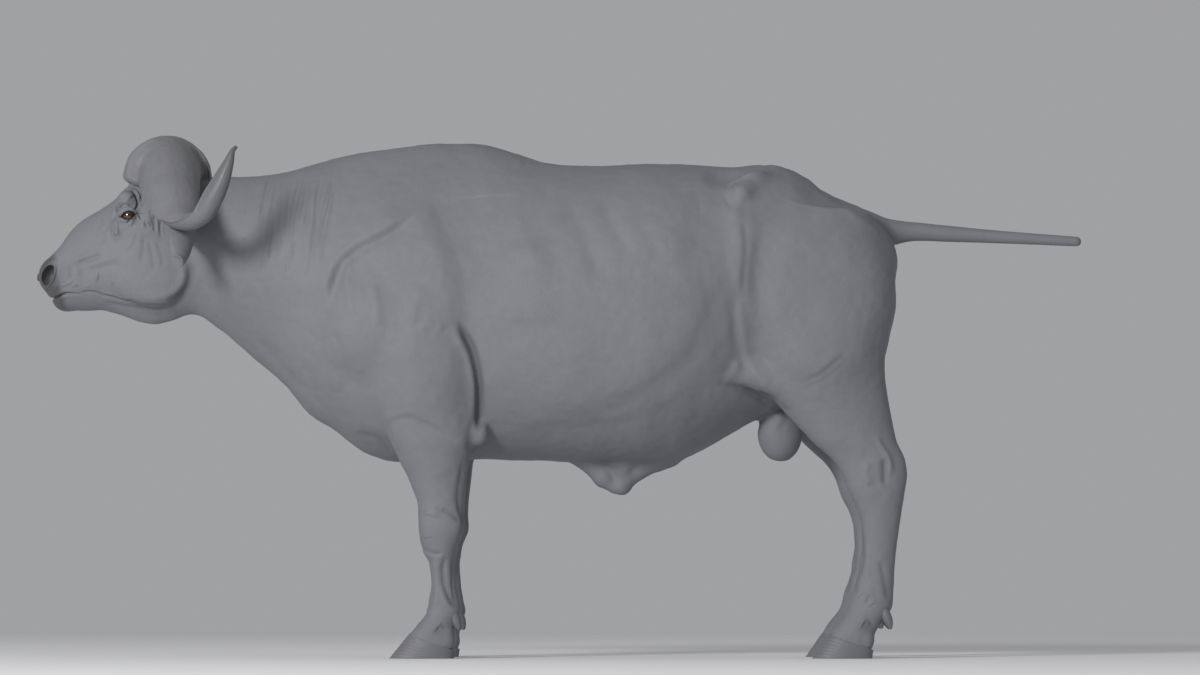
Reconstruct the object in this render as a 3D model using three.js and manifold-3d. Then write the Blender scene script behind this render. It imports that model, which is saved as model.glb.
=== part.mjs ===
// An African buffalo bull, the heavy-horned relative of the water buffalo, standing square on four feet.
// Life size, in millimetres. The head points to -X and the tail to +X, +Z is up, and the floor is z = 0.
// The body is the same on both sides, so every row below is for the side with y > 0.
import * as THREE from "three";
import Module from "manifold-3d";
import { mergeVertices } from "three/addons/utils/BufferGeometryUtils.js";

const wasm = await Module();
wasm.setup();
const { Manifold, Mesh: SolidMesh } = wasm;

// Driving dimensions
const WITHERS_HEIGHT = 1605;
const MUZZLE_X = -1627;
const TAIL_TIP_X = 1629;
const LEG_SPREAD = 400; // between the middles of a pair of feet
const GAP = 0.3; // between nodes that touch
const REACH = 3000; // longer than the animal, for cutting blocks

const LEG_Y = LEG_SPREAD / 2;

// Trunk and neck sections:
// x, top z, bottom z, half width, height share of the widest level, roundness above it, roundness below it
const TRUNK = [
  [-1240, 1440, 1118, 96, 0.5, 2.0, 2.0],
  [-1150, 1478, 1078, 122, 0.52, 2.0, 1.7],
  [-1060, 1498, 1020, 144, 0.55, 2.0, 1.6],
  [-960, 1501, 936, 170, 0.58, 2.0, 1.6],
  [-860, 1513, 850, 202, 0.57, 1.9, 1.7],
  [-780, 1535, 758, 228, 0.54, 1.8, 1.8],
  [-700, 1558, 704, 250, 0.48, 1.7, 1.9],
  [-600, 1578, 634, 272, 0.45, 1.65, 2.0],
  [-490, 1592, 606, 290, 0.44, 1.6, 2.1],
  [-370, WITHERS_HEIGHT, 608, 302, 0.44, 1.55, 2.1],
  [-250, 1602, 616, 312, 0.44, 1.6, 2.1],
  [-140, 1574, 613, 326, 0.44, 1.7, 2.1],
  [-40, 1543, 611, 340, 0.44, 1.8, 2.1],
  [100, 1533, 604, 352, 0.44, 1.9, 2.1],
  [240, 1538, 600, 354, 0.45, 2.0, 2.1],
  [340, 1539, 606, 344, 0.46, 2.1, 2.0],
  [440, 1534, 642, 324, 0.48, 2.2, 2.0],
  [530, 1528, 694, 300, 0.5, 2.3, 2.0],
  [620, 1534, 742, 280, 0.52, 2.4, 2.0],
  [710, 1522, 770, 268, 0.54, 2.3, 2.0],
  [800, 1467, 810, 255, 0.55, 2.1, 2.0],
  [900, 1415, 870, 228, 0.56, 1.9, 2.0],
  [990, 1372, 960, 165, 0.58, 1.8, 2.0],
  [1070, 1345, 1050, 60, 0.6, 1.8, 2.0],
];

// Head sections, in the same columns
const HEAD = [
  [MUZZLE_X, 1196, 1172, 14, 0.5, 2.0, 2.0],
  [-1620, 1214, 1157, 50, 0.5, 2.2, 2.2],
  [-1596, 1243, 1128, 78, 0.5, 2.3, 2.3],
  [-1563, 1279, 1102, 84, 0.44, 2.2, 2.4],
  [-1530, 1328, 1085, 80, 0.42, 2.1, 2.4],
  [-1486, 1368, 1080, 80, 0.42, 2.0, 2.2],
  [-1440, 1395, 1081, 88, 0.44, 2.1, 1.9],
  [-1399, 1422, 1074, 100, 0.5, 2.3, 1.7],
  [-1360, 1460, 1063, 114, 0.55, 2.5, 1.6],
  [-1311, 1500, 1046, 122, 0.57, 2.6, 1.5],
  [-1265, 1535, 1039, 124, 0.56, 2.6, 1.5],
  [-1218, 1540, 1047, 120, 0.54, 2.4, 1.6],
  [-1160, 1515, 1070, 108, 0.54, 2.2, 1.7],
  [-1100, 1490, 1104, 90, 0.54, 2.0, 1.8],
];

// Legs: z, front x, back x, inner y, outer y, roundness
const FORELEG = [
  [1130, -640, -300, 110, 238, 2.0],
  [1000, -606, -282, 105, 294, 2.0],
  [900, -578, -266, 100, 318, 2.1],
  [800, -556, -254, 100, 312, 2.1],
  [730, -538, -250, 106, 300, 2.1],
  [675, -523, -256, 114, 288, 2.1],
  [610, -492, -276, 126, 277, 2.1],
  [530, -455, -286, 136, 266, 2.1],
  [460, -433, -291, 141, 262, 2.2],
  [405, -431, -287, 139, 265, 2.4],
  [340, -420, -310, 145, 258, 2.3],
  [290, -396, -318, 155, 248, 2.1],
  [230, -392, -315, 159, 244, 2.1],
  [180, -398, -307, 153, 248, 2.1],
  [145, -404, -300, 144, 257, 2.3],
  [100, -438, -316, 142, 260, 2.4],
  [60, -468, -320, 138, 262, 2.5],
  [10, -484, -324, 136, 264, 2.5],
];
const HINDLEG = [
  [1380, 700, 955, 20, 225, 2.0],
  [1290, 620, 1003, 20, 252, 2.1],
  [1200, 580, 1036, 20, 274, 2.1],
  [1100, 562, 1038, 24, 287, 2.2],
  [1000, 574, 1020, 34, 292, 2.2],
  [900, 598, 1002, 48, 289, 2.2],
  [860, 617, 1003, 60, 284, 2.1],
  [800, 655, 1010, 82, 277, 2.0],
  [742, 705, 1020, 100, 268, 2.0],
  [665, 776, 1036, 124, 257, 2.0],
  [604, 843, 1062, 144, 250, 2.1],
  [560, 870, 1067, 150, 252, 2.2],
  [515, 885, 1060, 151, 254, 2.3],
  [460, 911, 1051, 156, 250, 2.2],
  [408, 925, 1043, 161, 244, 2.1],
  [360, 926, 1036, 163, 240, 2.1],
  [280, 919, 1028, 162, 241, 2.1],
  [203, 897, 1023, 153, 249, 2.1],
  [163, 887, 1020, 146, 256, 2.2],
  [111, 850, 988, 143, 259, 2.4],
  [75, 826, 966, 139, 262, 2.5],
  [10, 800, 950, 136, 265, 2.5],
];

// Tail bones from the rump to the blunt tip: x, y, z, radius
const TAIL = [
  [880, 0, 1360, 62],
  [960, 0, 1338, 54],
  [1032, 0, 1325, 42],
  [1100, 0, 1328, 30],
  [1219, 0, 1321, 25],
  [1376, 0, 1311, 20],
  [1614, 0, 1297, 15],
];
// Crest of the pelvis, from the point of the hip up to the sacrum
const HIP_CREST = [
  [560, 218, 1425, 32],
  [600, 172, 1462, 28],
  [665, 96, 1490, 26],
  [760, 66, 1452, 26],
];
// The sheath hangs from the belly like a blunt wedge: down to the tip, up again, and back along the belly
const SHEATH = [
  [90, 0, 612, 34],
  [140, 0, 560, 34],
  [181, 0, 538, 27],
  [190, 0, 600, 50],
  [181, 0, 538, 27],
  [300, 0, 616, 34],
];

// Rounded masses: centre, radii, tilt about Y in degrees, width of the blend
const BODY_MASSES = [
  [[-590, 205, 1010], [120, 88, 150], 10, 40], // point of the shoulder
  [[978, 112, 1240], [58, 55, 66], 0, 50], // pin bone
  [[602, 222, 868], [105, 34, 42], -22, 30], // flank fold
  [[-252, 215, 690], [34, 30, 40], 0, 18], // point of the elbow
  [[686, 0, 694], [70, 60, 84], 0, 22], // scrotum
];
const HEAD_MASSES = [
  [[-1262, 76, 1196], [112, 46, 104], 0, 50], // cheek
  [[-1337, 98, 1402], [42, 35, 44], 0, 18], // brow and eye socket
  [[-1308, 96, 1328], [78, 30, 34], -8, 24], // cheek bone
  [[-1587, 40, 1190], [35, 40, 48], 0, 14], // nostril wing
  [[-1540, 0, 1112], [42, 52, 34], 0, 12], // lower lip
];

// Reliefs on the flanks, seen from the side:
// centre x and z, radii, tilt in degrees, height, softness of the edge
const RELIEFS = [
  [[-490, 1205], [225, 285], -20, 20, 0.6], // shoulder blade
  [[-390, 905], [128, 165], 0, 12, 0.6], // triceps
  [[815, 1120], [205, 320], 0, 16, 0.35], // haunch
  [[452, 1300], [92, 125], -14, -14, 0.9], // hollow of the flank
  [[500, 1478], [60, 34], 0, -14, 0.9], // hollow in front of the hip
];

// Eyes, nostrils and mouth
const EYE = { x: -1335, y: 108, z: 1367, radius: 26 };
const APERTURE = { halfLength: 24, halfHeight: 13, tilt: -9 };
const NOSTRIL = { x: -1590, y: 47, z: 1185, radii: [19, 30, 33], turn: 22, tilt: 26 };
const MOUTH = [
  [-1604, 1118],
  [-1567, 1118],
  [-1549, 1124],
  [-1532, 1130],
  [-1500, 1129],
  [-1470, 1124],
];
const MOUTH_DEPTH = 26;
const MOUTH_WIDTH = 5;

// Horn and boss: centre x, y, z, half width along the head, rise above the centre, depth below it,
// and sharpness of the front edge
const HORN = [
  [-1228, 2, 1500, 136, 128, 40, 0],
  [-1227, 45, 1498, 133, 125, 44, 0],
  [-1215, 95, 1487, 113, 112, 46, 0.1],
  [-1205, 145, 1466, 100, 96, 46, 0.3],
  [-1193, 205, 1425, 89, 76, 42, 0.5],
  [-1175, 268, 1376, 73, 56, 38, 0.6],
  [-1154, 333, 1338, 54, 38, 32, 0.6],
  [-1119, 394, 1323, 38, 27, 26, 0.6],
  [-1077, 440, 1337, 29, 23, 23, 0.6],
  [-1042, 464, 1387, 30, 26, 26, 0.6],
  [-1014, 474, 1442, 24, 22, 22, 0.5],
  [-994, 476, 1495, 15, 14, 14, 0.4],
  [-983, 473, 1531, 8, 8, 8, 0.2],
  [-972, 470, 1544, 5, 5, 5, 0],
];
const HORN_SIDES = 16;
const HORN_RINGS = 22;

// Ear: root, tip, half width and curl along its length
const EAR = {
  root: [-1178, 96, 1368],
  tip: [-1158, 338, 1212],
  thickness: 7,
  rows: [
    // share of the length, half width, opening angle in degrees
    [0.0, 24, 150],
    [0.2, 33, 128],
    [0.42, 43, 102],
    [0.62, 45, 86],
    [0.8, 39, 76],
    [0.92, 31, 68],
    [1.0, 21, 62],
  ],
};

// Feet: each claw of a hoof, from the coronet down to the sole
const FOREHOOF = { toeTop: [-458, 76], heelTop: [-318, 24], toe: -519, heel: -322 };
const HINDHOOF = { toeTop: [826, 75], heelTop: [960, 26], toe: 774, heel: 956 };
const CLAW_WIDTH = 64;
const CLEFT = 5;
const FORE_DEWCLAW = { x: -318, z: 116 };
const HIND_DEWCLAW = { x: 1000, z: 120 };
const DEWCLAW = { apart: 62, length: 62, half: 17 };

// Colours from the photograph: slate-grey hide, darker horn
const HIDE = { color: 0x77787c, roughness: 0.62, metalness: 0 };
const HORN_LOOK = { color: 0x6c6d70, roughness: 0.5, metalness: 0 };
const HOOF_LOOK = { color: 0x5f6063, roughness: 0.5, metalness: 0 };
const EYE_LOOK = { color: 0x1c1a19, roughness: 0.1, metalness: 0 };

// Interpolation through the rows of a table, smooth and without overshoot
function curves(rows) {
  const sorted = [...rows].sort((a, b) => a[0] - b[0]);
  const at = sorted.map((row) => row[0]);
  const last = at.length - 1;
  const slopes = sorted[0].map((_, column) => {
    const step = (i) => (sorted[i + 1][column] - sorted[i][column]) / (at[i + 1] - at[i]);
    return at.map((_, i) => {
      if (i === 0) return step(0);
      if (i === last) return step(last - 1);
      const [before, after] = [step(i - 1), step(i)];
      if (before * after <= 0) return 0;
      const [h0, h1] = [at[i] - at[i - 1], at[i + 1] - at[i]];
      const [w0, w1] = [2 * h1 + h0, h1 + 2 * h0];
      return (w0 + w1) / (w0 / before + w1 / after);
    });
  });
  return (value) => {
    const t = Math.min(Math.max(value, at[0]), at[last]);
    let i = 0;
    while (i < last - 1 && t > at[i + 1]) i++;
    const h = at[i + 1] - at[i];
    const s = (t - at[i]) / h;
    const [s2, s3] = [s * s, s * s * s];
    const keep = 2 * s3 - 3 * s2 + 1;
    return sorted[i].map(
      (_, c) =>
        keep * sorted[i][c] +
        (s3 - 2 * s2 + s) * h * slopes[c][i] +
        (1 - keep) * sorted[i + 1][c] +
        (s3 - s2) * h * slopes[c][i + 1],
    );
  };
}

const trunkAt = curves(TRUNK);
const headAt = curves(HEAD);
const forelegAt = curves(FORELEG);
const hindlegAt = curves(HINDLEG);

// Smooth union and smooth intersection of two distances
function join(a, b, width) {
  const h = Math.max(width - Math.abs(a - b), 0) / width;
  return Math.min(a, b) - h * h * width * 0.25;
}
const meet = (a, b, width) => -join(-a, -b, width);

// Distance to the rounded oval |a / ra|^p + |b / rb|^p = 1
function oval(a, b, p, ra, rb) {
  const u = Math.abs(a) / ra + 1e-6;
  const v = Math.abs(b) / rb + 1e-6;
  const [pu, pv] = [u ** (p - 1), v ** (p - 1)];
  const sum = pu * u + pv * v;
  const fall = sum ** (1 / p - 1);
  return (sum ** (1 / p) - 1) / Math.hypot((fall * pu) / ra, (fall * pv) / rb);
}

function alongX(at, from, to, [x, y, z], soft) {
  const [, top, bottom, half, share, above, below] = at(x);
  const middle = bottom + share * (top - bottom);
  const d =
    z > middle
      ? oval(z - middle, y, above, top - middle, half)
      : oval(z - middle, y, below, middle - bottom, half);
  return meet(meet(d, from - x, soft), x - to, soft);
}

function alongZ(at, from, to, [x, y, z]) {
  const [, front, back, inner, outer, p] = at(z);
  const d = oval(x - (front + back) / 2, y - (inner + outer) / 2, p, (back - front) / 2, (outer - inner) / 2);
  return meet(meet(d, from - z, 10), z - to, 10);
}

function mass([x, y, z], [centre, radii, tilt]) {
  const a = THREE.MathUtils.degToRad(tilt);
  const [dx, dy, dz] = [x - centre[0], y - centre[1], z - centre[2]];
  const px = Math.cos(a) * dx + Math.sin(a) * dz;
  const pz = Math.cos(a) * dz - Math.sin(a) * dx;
  const [rx, ry, rz] = radii;
  const near = Math.hypot(px / rx, dy / ry, pz / rz) + 1e-9;
  return (near * (near - 1)) / (Math.hypot(px / rx ** 2, dy / ry ** 2, pz / rz ** 2) + 1e-12);
}

// Distance to a chain of round cones through points x, y, z, radius
function chain([x, y, z], points, width) {
  let best = Infinity;
  for (let i = 0; i + 1 < points.length; i++) {
    const [a, b] = [points[i], points[i + 1]];
    const d = [b[0] - a[0], b[1] - a[1], b[2] - a[2]];
    const q = [x - a[0], y - a[1], z - a[2]];
    const along = (q[0] * d[0] + q[1] * d[1] + q[2] * d[2]) / (d[0] ** 2 + d[1] ** 2 + d[2] ** 2);
    const t = Math.min(Math.max(along, 0), 1);
    const away = Math.hypot(q[0] - t * d[0], q[1] - t * d[1], q[2] - t * d[2]);
    const piece = away - (a[3] + t * (b[3] - a[3]));
    best = best === Infinity ? piece : join(best, piece, width);
  }
  return best;
}

// Height of the reliefs at a place on the flank; they fade out towards the middle plane
function relief([x, y, z]) {
  let height = 0;
  for (const [[cx, cz], [rx, rz], tilt, rise, soft] of RELIEFS) {
    const a = THREE.MathUtils.degToRad(tilt);
    const px = Math.cos(a) * (x - cx) + Math.sin(a) * (z - cz);
    const pz = Math.cos(a) * (z - cz) - Math.sin(a) * (x - cx);
    const r = Math.hypot(px / rx, pz / rz);
    height += rise * (1 - THREE.MathUtils.smoothstep(r, 1 - soft, 1 + soft * 0.4));
  }
  return height * THREE.MathUtils.smoothstep(y, 40, 160);
}

function headField(p) {
  let d = alongX(headAt, MUZZLE_X - 6, -1100, p, 6);
  for (const item of HEAD_MASSES) d = join(d, mass(p, item), item[3]);
  return d;
}

// The whole hide as one field, negative inside; both sides are folded onto y > 0
function hide(x, side, z) {
  const p = [x, Math.abs(side), z];
  let d = alongX(trunkAt, -1220, 1026, p, 60);
  d = join(d, alongZ(forelegAt, -40, 1110, p), 46);
  d = join(d, alongZ(hindlegAt, -40, 1370, p), 50);
  d = join(d, chain(p, HIP_CREST, 20), 36);
  for (const item of BODY_MASSES) d = join(d, mass(p, item), item[3]);
  d -= relief(p);
  d = join(d, chain(p, TAIL, 20), 24);
  d = join(d, chain(p, SHEATH, 0.1), 40);
  return join(d, headField(p), 34);
}

// Surface of a field between two corners as a closed mesh with square-ish faces,
// its vertices moved onto the surface
function surface(whole, low, high, cell) {
  const outside = (value, i) => Math.max(low[i] + cell[i] * 0.8 - value, value - high[i] + cell[i] * 1.2);
  const field = (x, y, z) => Math.max(whole(x, y, z), outside(x, 0), outside(y, 1), outside(z, 2));
  const count = low.map((l, i) => Math.ceil((high[i] - l) / cell[i]) + 1);
  const place = (i, j, k) => [low[0] + i * cell[0], low[1] + j * cell[1], low[2] + k * cell[2]];
  const index = (i, j, k) => (i * count[1] + j) * count[2] + k;
  const value = new Float64Array(count[0] * count[1] * count[2]);
  for (let i = 0; i < count[0]; i++)
    for (let j = 0; j < count[1]; j++)
      for (let k = 0; k < count[2]; k++) value[index(i, j, k)] = field(...place(i, j, k));

  const points = [];
  const pointOf = new Map();
  const corners = [0, 1, 2, 3, 4, 5, 6, 7].map((c) => [c & 1, (c >> 1) & 1, c >> 2]);
  function cellPoint(i, j, k) {
    const key = index(i, j, k);
    if (pointOf.has(key)) return pointOf.get(key);
    const sum = [0, 0, 0];
    let crossings = 0;
    for (const a of corners)
      for (let axis = 0; axis < 3; axis++) {
        if (a[axis]) continue;
        const b = [...a];
        b[axis] = 1;
        const va = value[index(i + a[0], j + a[1], k + a[2])];
        const vb = value[index(i + b[0], j + b[1], k + b[2])];
        if (va < 0 === vb < 0) continue;
        const t = va / (va - vb);
        a.forEach((c, n) => (sum[n] += n === axis ? t : c));
        crossings++;
      }
    const [x, y, z] = place(i + sum[0] / crossings, j + sum[1] / crossings, k + sum[2] / crossings);
    points.push(settle(field, [x, y, z]));
    pointOf.set(key, points.length - 1);
    return points.length - 1;
  }

  const faces = [];
  for (let i = 0; i < count[0] - 1; i++)
    for (let j = 0; j < count[1] - 1; j++)
      for (let k = 0; k < count[2] - 1; k++)
        for (let axis = 0; axis < 3; axis++) {
          const at = [i, j, k];
          const [u, v] = [(axis + 1) % 3, (axis + 2) % 3];
          if (at[u] === 0 || at[v] === 0) continue;
          const next = [...at];
          next[axis]++;
          const here = value[index(...at)] < 0;
          if (here === value[index(...next)] < 0) continue;
          const around = [[1, 1], [0, 1], [0, 0], [1, 0]].map(([du, dv]) => {
            const c = [...at];
            c[u] -= du;
            c[v] -= dv;
            return cellPoint(...c);
          });
          const [a, b, c, d] = here ? around : around.reverse();
          faces.push(a, b, c, a, c, d);
        }
  return solidFrom(points.flat(), faces);
}

// Moves a point onto the surface along the field's slope, by at most a few millimetres a step
function settle(field, start) {
  let p = start;
  for (let round = 0; round < 3; round++) {
    const value = field(...p);
    const slope = [0, 1, 2].map((axis) => {
      const [ahead, behind] = [[...p], [...p]];
      ahead[axis] += 0.5;
      behind[axis] -= 0.5;
      return field(...ahead) - field(...behind);
    });
    const steep = slope[0] ** 2 + slope[1] ** 2 + slope[2] ** 2;
    const step = Math.min(Math.max(value / Math.max(steep, 0.05), -8), 8);
    p = p.map((c, axis) => c - step * slope[axis]);
  }
  return p;
}

// A loft whose rings are found by walking outwards from a centre to the surface of the field.
// Each ring has a centre and two directions, a and b, that span its plane.
function cast(field, rings, sides, limit) {
  return loft(
    rings.map(({ centre, a, b }) => {
      const ring = [];
      for (let i = 0; i < sides; i++) {
        const turn = (2 * Math.PI * (i + 0.5)) / sides;
        const away = a.map((c, axis) => c * Math.cos(turn) + b[axis] * Math.sin(turn));
        const at = (r) => centre.map((c, axis) => c + r * away[axis]);
        let [inside, outside] = [0, 4];
        while (outside < limit && field(...at(outside)) < 0) {
          inside = outside;
          outside += 4;
        }
        for (let round = 0; round < 7; round++) {
          const middle = (inside + outside) / 2;
          if (field(...at(middle)) < 0) inside = middle;
          else outside = middle;
        }
        ring.push(at(inside));
      }
      return ring;
    }),
  );
}

const spread = (count, value) => Array.from({ length: count }, (_, i) => value(i / (count - 1)));
const mix = THREE.MathUtils.lerp;

function solidFrom(positions, triangles) {
  const mesh = new SolidMesh({
    numProp: 3,
    vertProperties: new Float32Array(positions),
    triVerts: new Uint32Array(triangles),
  });
  const solid = new Manifold(mesh);
  if (solid.volume() > 0) return solid;
  const turned = [];
  for (let i = 0; i < triangles.length; i += 3) turned.push(triangles[i], triangles[i + 2], triangles[i + 1]);
  return solidFrom(positions, turned);
}

// A three.js geometry as a solid
function solidOf(geometry) {
  const bare = geometry.clone();
  bare.deleteAttribute("normal");
  bare.deleteAttribute("uv");
  const merged = mergeVertices(bare, 1e-4);
  return solidFrom([...merged.attributes.position.array], [...merged.index.array]);
}

// A solid through closed rings of points, with flat ends
function loft(rings) {
  const size = rings[0].length;
  const positions = rings.flat(2);
  const triangles = [];
  for (let r = 0; r + 1 < rings.length; r++)
    for (let i = 0; i < size; i++) {
      const [a, b] = [r * size + i, r * size + ((i + 1) % size)];
      triangles.push(a, b, b + size, a, b + size, a + size);
    }
  const ends = [
    [0, 1],
    [rings.length - 1, -1],
  ];
  for (const [r, turn] of ends) {
    const middle = [0, 1, 2].map((axis) => rings[r].reduce((sum, p) => sum + p[axis], 0) / size);
    const hub = positions.push(...middle) / 3 - 1;
    for (let i = 0; i < size; i++) {
      const [a, b] = [r * size + i, r * size + ((i + 1) % size)];
      triangles.push(...(turn > 0 ? [hub, b, a] : [hub, a, b]));
    }
  }
  return solidFrom(positions, triangles);
}

const mirrored = (solid) => solid.mirror([0, 1, 0]);

// A block that fills one side of a plane through a point
function halfSpace(point, normal) {
  const geometry = new THREE.BoxGeometry(REACH, REACH, REACH);
  geometry.translate(0, 0, REACH / 2);
  const toward = new THREE.Vector3(...normal).normalize();
  geometry.applyQuaternion(new THREE.Quaternion().setFromUnitVectors(new THREE.Vector3(0, 0, 1), toward));
  geometry.translate(...point);
  return solidOf(geometry);
}

function block(low, high) {
  const size = high.map((h, i) => h - low[i]);
  const geometry = new THREE.BoxGeometry(...size);
  geometry.translate(...high.map((h, i) => (h + low[i]) / 2));
  return solidOf(geometry);
}

function largest(solid) {
  return solid.decompose().reduce((best, piece) => (piece.volume() > best.volume() ? piece : best));
}

// The horn is a loft along its curve; grow makes it larger, for cutting what it sits on
const hornAlong = curves(HORN.map((row, i) => [i, ...row]));
function horn(grow) {
  const rings = [];
  const last = HORN.length - 1;
  for (let r = 0; r <= HORN_RINGS; r++) {
    const t = (r / HORN_RINGS) * last;
    const [, x, y, z, half, rise, depth, edge] = hornAlong(t);
    const ahead = new THREE.Vector3(...hornAlong(Math.min(t + 0.05, last)).slice(1, 4));
    const behind = new THREE.Vector3(...hornAlong(Math.max(t - 0.05, 0)).slice(1, 4));
    const forward = ahead.sub(behind).normalize();
    if (r === 0) forward.set(0, 1, 0);
    const wide = new THREE.Vector3(1, 0, 0).addScaledVector(forward, -forward.x).normalize();
    const up = new THREE.Vector3().crossVectors(wide, forward).normalize();
    const ring = [];
    for (let i = 0; i < HORN_SIDES; i++) {
      const a = (2 * Math.PI * i) / HORN_SIDES;
      const lift = Math.sin(a) > 0 ? rise : depth;
      const thinner = Math.cos(a) < 0 ? Math.abs(Math.sin(a)) ** edge : 1;
      const point = new THREE.Vector3(x, y, z)
        .addScaledVector(wide, (half + grow) * Math.cos(a))
        .addScaledVector(up, (lift + grow) * Math.sin(a) * thinner);
      ring.push(point.toArray());
    }
    rings.push(ring);
  }
  return loft(rings);
}

// The ear is a curled leaf: each section is an arc with a front and a back face.
// grow makes it thicker, for cutting.
function ear(grow) {
  const [root, tip] = [new THREE.Vector3(...EAR.root), new THREE.Vector3(...EAR.tip)];
  const along = tip.clone().sub(root).normalize();
  const cupped = new THREE.Vector3(-0.75, 0.35, -0.35);
  cupped.addScaledVector(along, -cupped.dot(along)).normalize();
  const across = new THREE.Vector3().crossVectors(along, cupped);
  const shape = curves(EAR.rows);
  const [steps, spokes] = [9, 6];
  const rings = [];
  for (let r = 0; r <= steps; r++) {
    const t = r / steps;
    const [, half, opening] = shape(t);
    const droop = 26 * Math.sin(Math.PI * t);
    const centre = root.clone().lerp(tip, t).add(new THREE.Vector3(0, 0, droop));
    const spread = THREE.MathUtils.degToRad(opening);
    const radius = half / Math.sin(Math.min(spread, Math.PI / 2));
    const wall = Math.min(EAR.thickness, half * 0.5);
    const arc = (size, from, to) => {
      const points = [];
      for (let i = 0; i <= spokes; i++) {
        const a = from + ((to - from) * i) / spokes;
        const point = centre
          .clone()
          .addScaledVector(across, size * Math.sin(a))
          .addScaledVector(cupped, radius * Math.cos(Math.min(spread, Math.PI / 2)) - size * Math.cos(a));
        points.push(point.toArray());
      }
      return points;
    };
    const wider = spread + grow / radius;
    rings.push([...arc(radius + grow, -wider, wider), ...arc(radius - wall - grow, wider * 0.97, -wider * 0.97)]);
  }
  return loft(rings);
}

// One claw of a hoof: inner faces are nearly flat, the outer wall is round, and the sole is flat on the floor
function claw(foot, out, grow) {
  const [levels, sides] = [3, 14];
  const rings = [];
  for (let r = 0; r <= levels; r++) {
    const t = r / levels;
    const [front, back] = [
      foot.toeTop[0] + t * (foot.toe - foot.toeTop[0]),
      foot.heelTop[0] + t * (foot.heel - foot.heelTop[0]),
    ];
    const ring = [];
    for (let i = 0; i < sides; i++) {
      const a = (2 * Math.PI * i) / sides;
      const s = (1 - Math.cos(a)) / 2;
      const width = Math.sin(a) > 0 ? CLAW_WIDTH * 0.72 : CLAW_WIDTH * 0.28;
      const flare = 0.93 + 0.07 * t;
      const swing = -6 * (1 - s) ** 3;
      const y = CLEFT / 2 + CLAW_WIDTH * 0.28 + width * flare * Math.sign(Math.sin(a)) * Math.abs(Math.sin(a)) ** 0.8;
      const top = foot.toeTop[1] + s * (foot.heelTop[1] - foot.toeTop[1]) - GAP;
      ring.push([
        front - grow + s * (back - front + 2 * grow),
        LEG_Y + out * (y + swing + grow * Math.sign(Math.sin(a))),
        (1 - t) * top,
      ]);
    }
    rings.push(ring);
  }
  return loft(rings);
}

// A dewclaw is a blunt flattened cone that points down and back
function dewclaw(place, out, grow) {
  const [levels, sides] = [4, 8];
  const rings = [];
  for (let r = 0; r <= levels; r++) {
    const t = r / levels;
    const size = (DEWCLAW.half * Math.sqrt(1 - (0.94 * t) ** 2) + grow) * (0.8 + 0.2 * Math.sin(Math.PI * t));
    const ring = [];
    for (let i = 0; i < sides; i++) {
      const a = (2 * Math.PI * i) / sides;
      ring.push([
        place.x - 8 + 20 * t + size * 1.05 * Math.cos(a),
        LEG_Y + out * (DEWCLAW.apart / 2) + size * Math.sin(a),
        place.z + DEWCLAW.length / 2 - DEWCLAW.length * t,
      ]);
    }
    rings.push(ring);
  }
  return loft(rings);
}

function ball({ x, y, z, radius }, grow) {
  const geometry = new THREE.IcosahedronGeometry(radius + grow, 2);
  geometry.translate(x, y, z);
  return solidOf(geometry);
}

// The opening between the lids: an almond-shaped bar along Y
function aperture() {
  const [long, high] = [APERTURE.halfLength, APERTURE.halfHeight];
  const outline = new THREE.Shape();
  outline.moveTo(-long, 0);
  outline.quadraticCurveTo(0, 2 * high, long, 0);
  outline.quadraticCurveTo(0, -2 * high, -long, 0);
  const geometry = new THREE.ExtrudeGeometry(outline, { depth: 60, bevelEnabled: false, curveSegments: 8 });
  geometry.rotateX(Math.PI / 2);
  geometry.rotateY(THREE.MathUtils.degToRad(APERTURE.tilt));
  geometry.translate(EYE.x, EYE.y + 66, EYE.z);
  return solidOf(geometry);
}

// The rims of the lids, as one flattened ring around the opening
function lids() {
  const geometry = new THREE.TorusGeometry(1, 0.26, 6, 18);
  geometry.scale(APERTURE.halfLength + 4, APERTURE.halfHeight + 5, 22);
  geometry.rotateX(Math.PI / 2);
  geometry.rotateY(THREE.MathUtils.degToRad(APERTURE.tilt));
  geometry.rotateZ(THREE.MathUtils.degToRad(14));
  geometry.translate(EYE.x, EYE.y + 17, EYE.z);
  return solidOf(geometry);
}

function nostril() {
  const geometry = new THREE.IcosahedronGeometry(1, 2);
  geometry.scale(...NOSTRIL.radii);
  geometry.rotateZ(THREE.MathUtils.degToRad(NOSTRIL.turn));
  geometry.rotateY(THREE.MathUtils.degToRad(NOSTRIL.tilt));
  geometry.translate(NOSTRIL.x, NOSTRIL.y + 22, NOSTRIL.z);
  return solidOf(geometry);
}

// The mouth is a thin slot that follows the line of the lips, cut in from the side
function mouth() {
  const outline = new THREE.Shape();
  MOUTH.forEach(([x, z], i) => (i ? outline.lineTo(x, z) : outline.moveTo(x, z)));
  [...MOUTH].reverse().forEach(([x, z]) => outline.lineTo(x, z - MOUTH_WIDTH));
  const geometry = new THREE.ExtrudeGeometry(outline, { depth: 60, bevelEnabled: false });
  geometry.rotateX(Math.PI / 2);
  geometry.translate(0, 60 + 90 - MOUTH_DEPTH, 0);
  return solidOf(geometry);
}

// Planes between the nodes of the hide: a point on each, and how far it leans
const NECK_CUT = { x: -1115, z: 1290, lean: 0.15 };
const SHOULDER_CUT = { x: -691, z: 1200, lean: 0.137 };
const TAIL_CUT = { x: 1046, z: 1325, lean: 0 };
const ELBOW_CUT = { x: -394, z: 596, rise: 0 };
const STIFLE_CUT = { x: 640, z: 740, rise: 0.31 };
const SHEATH_CUT = { x: 185, z: 586, rise: 0 };

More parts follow.
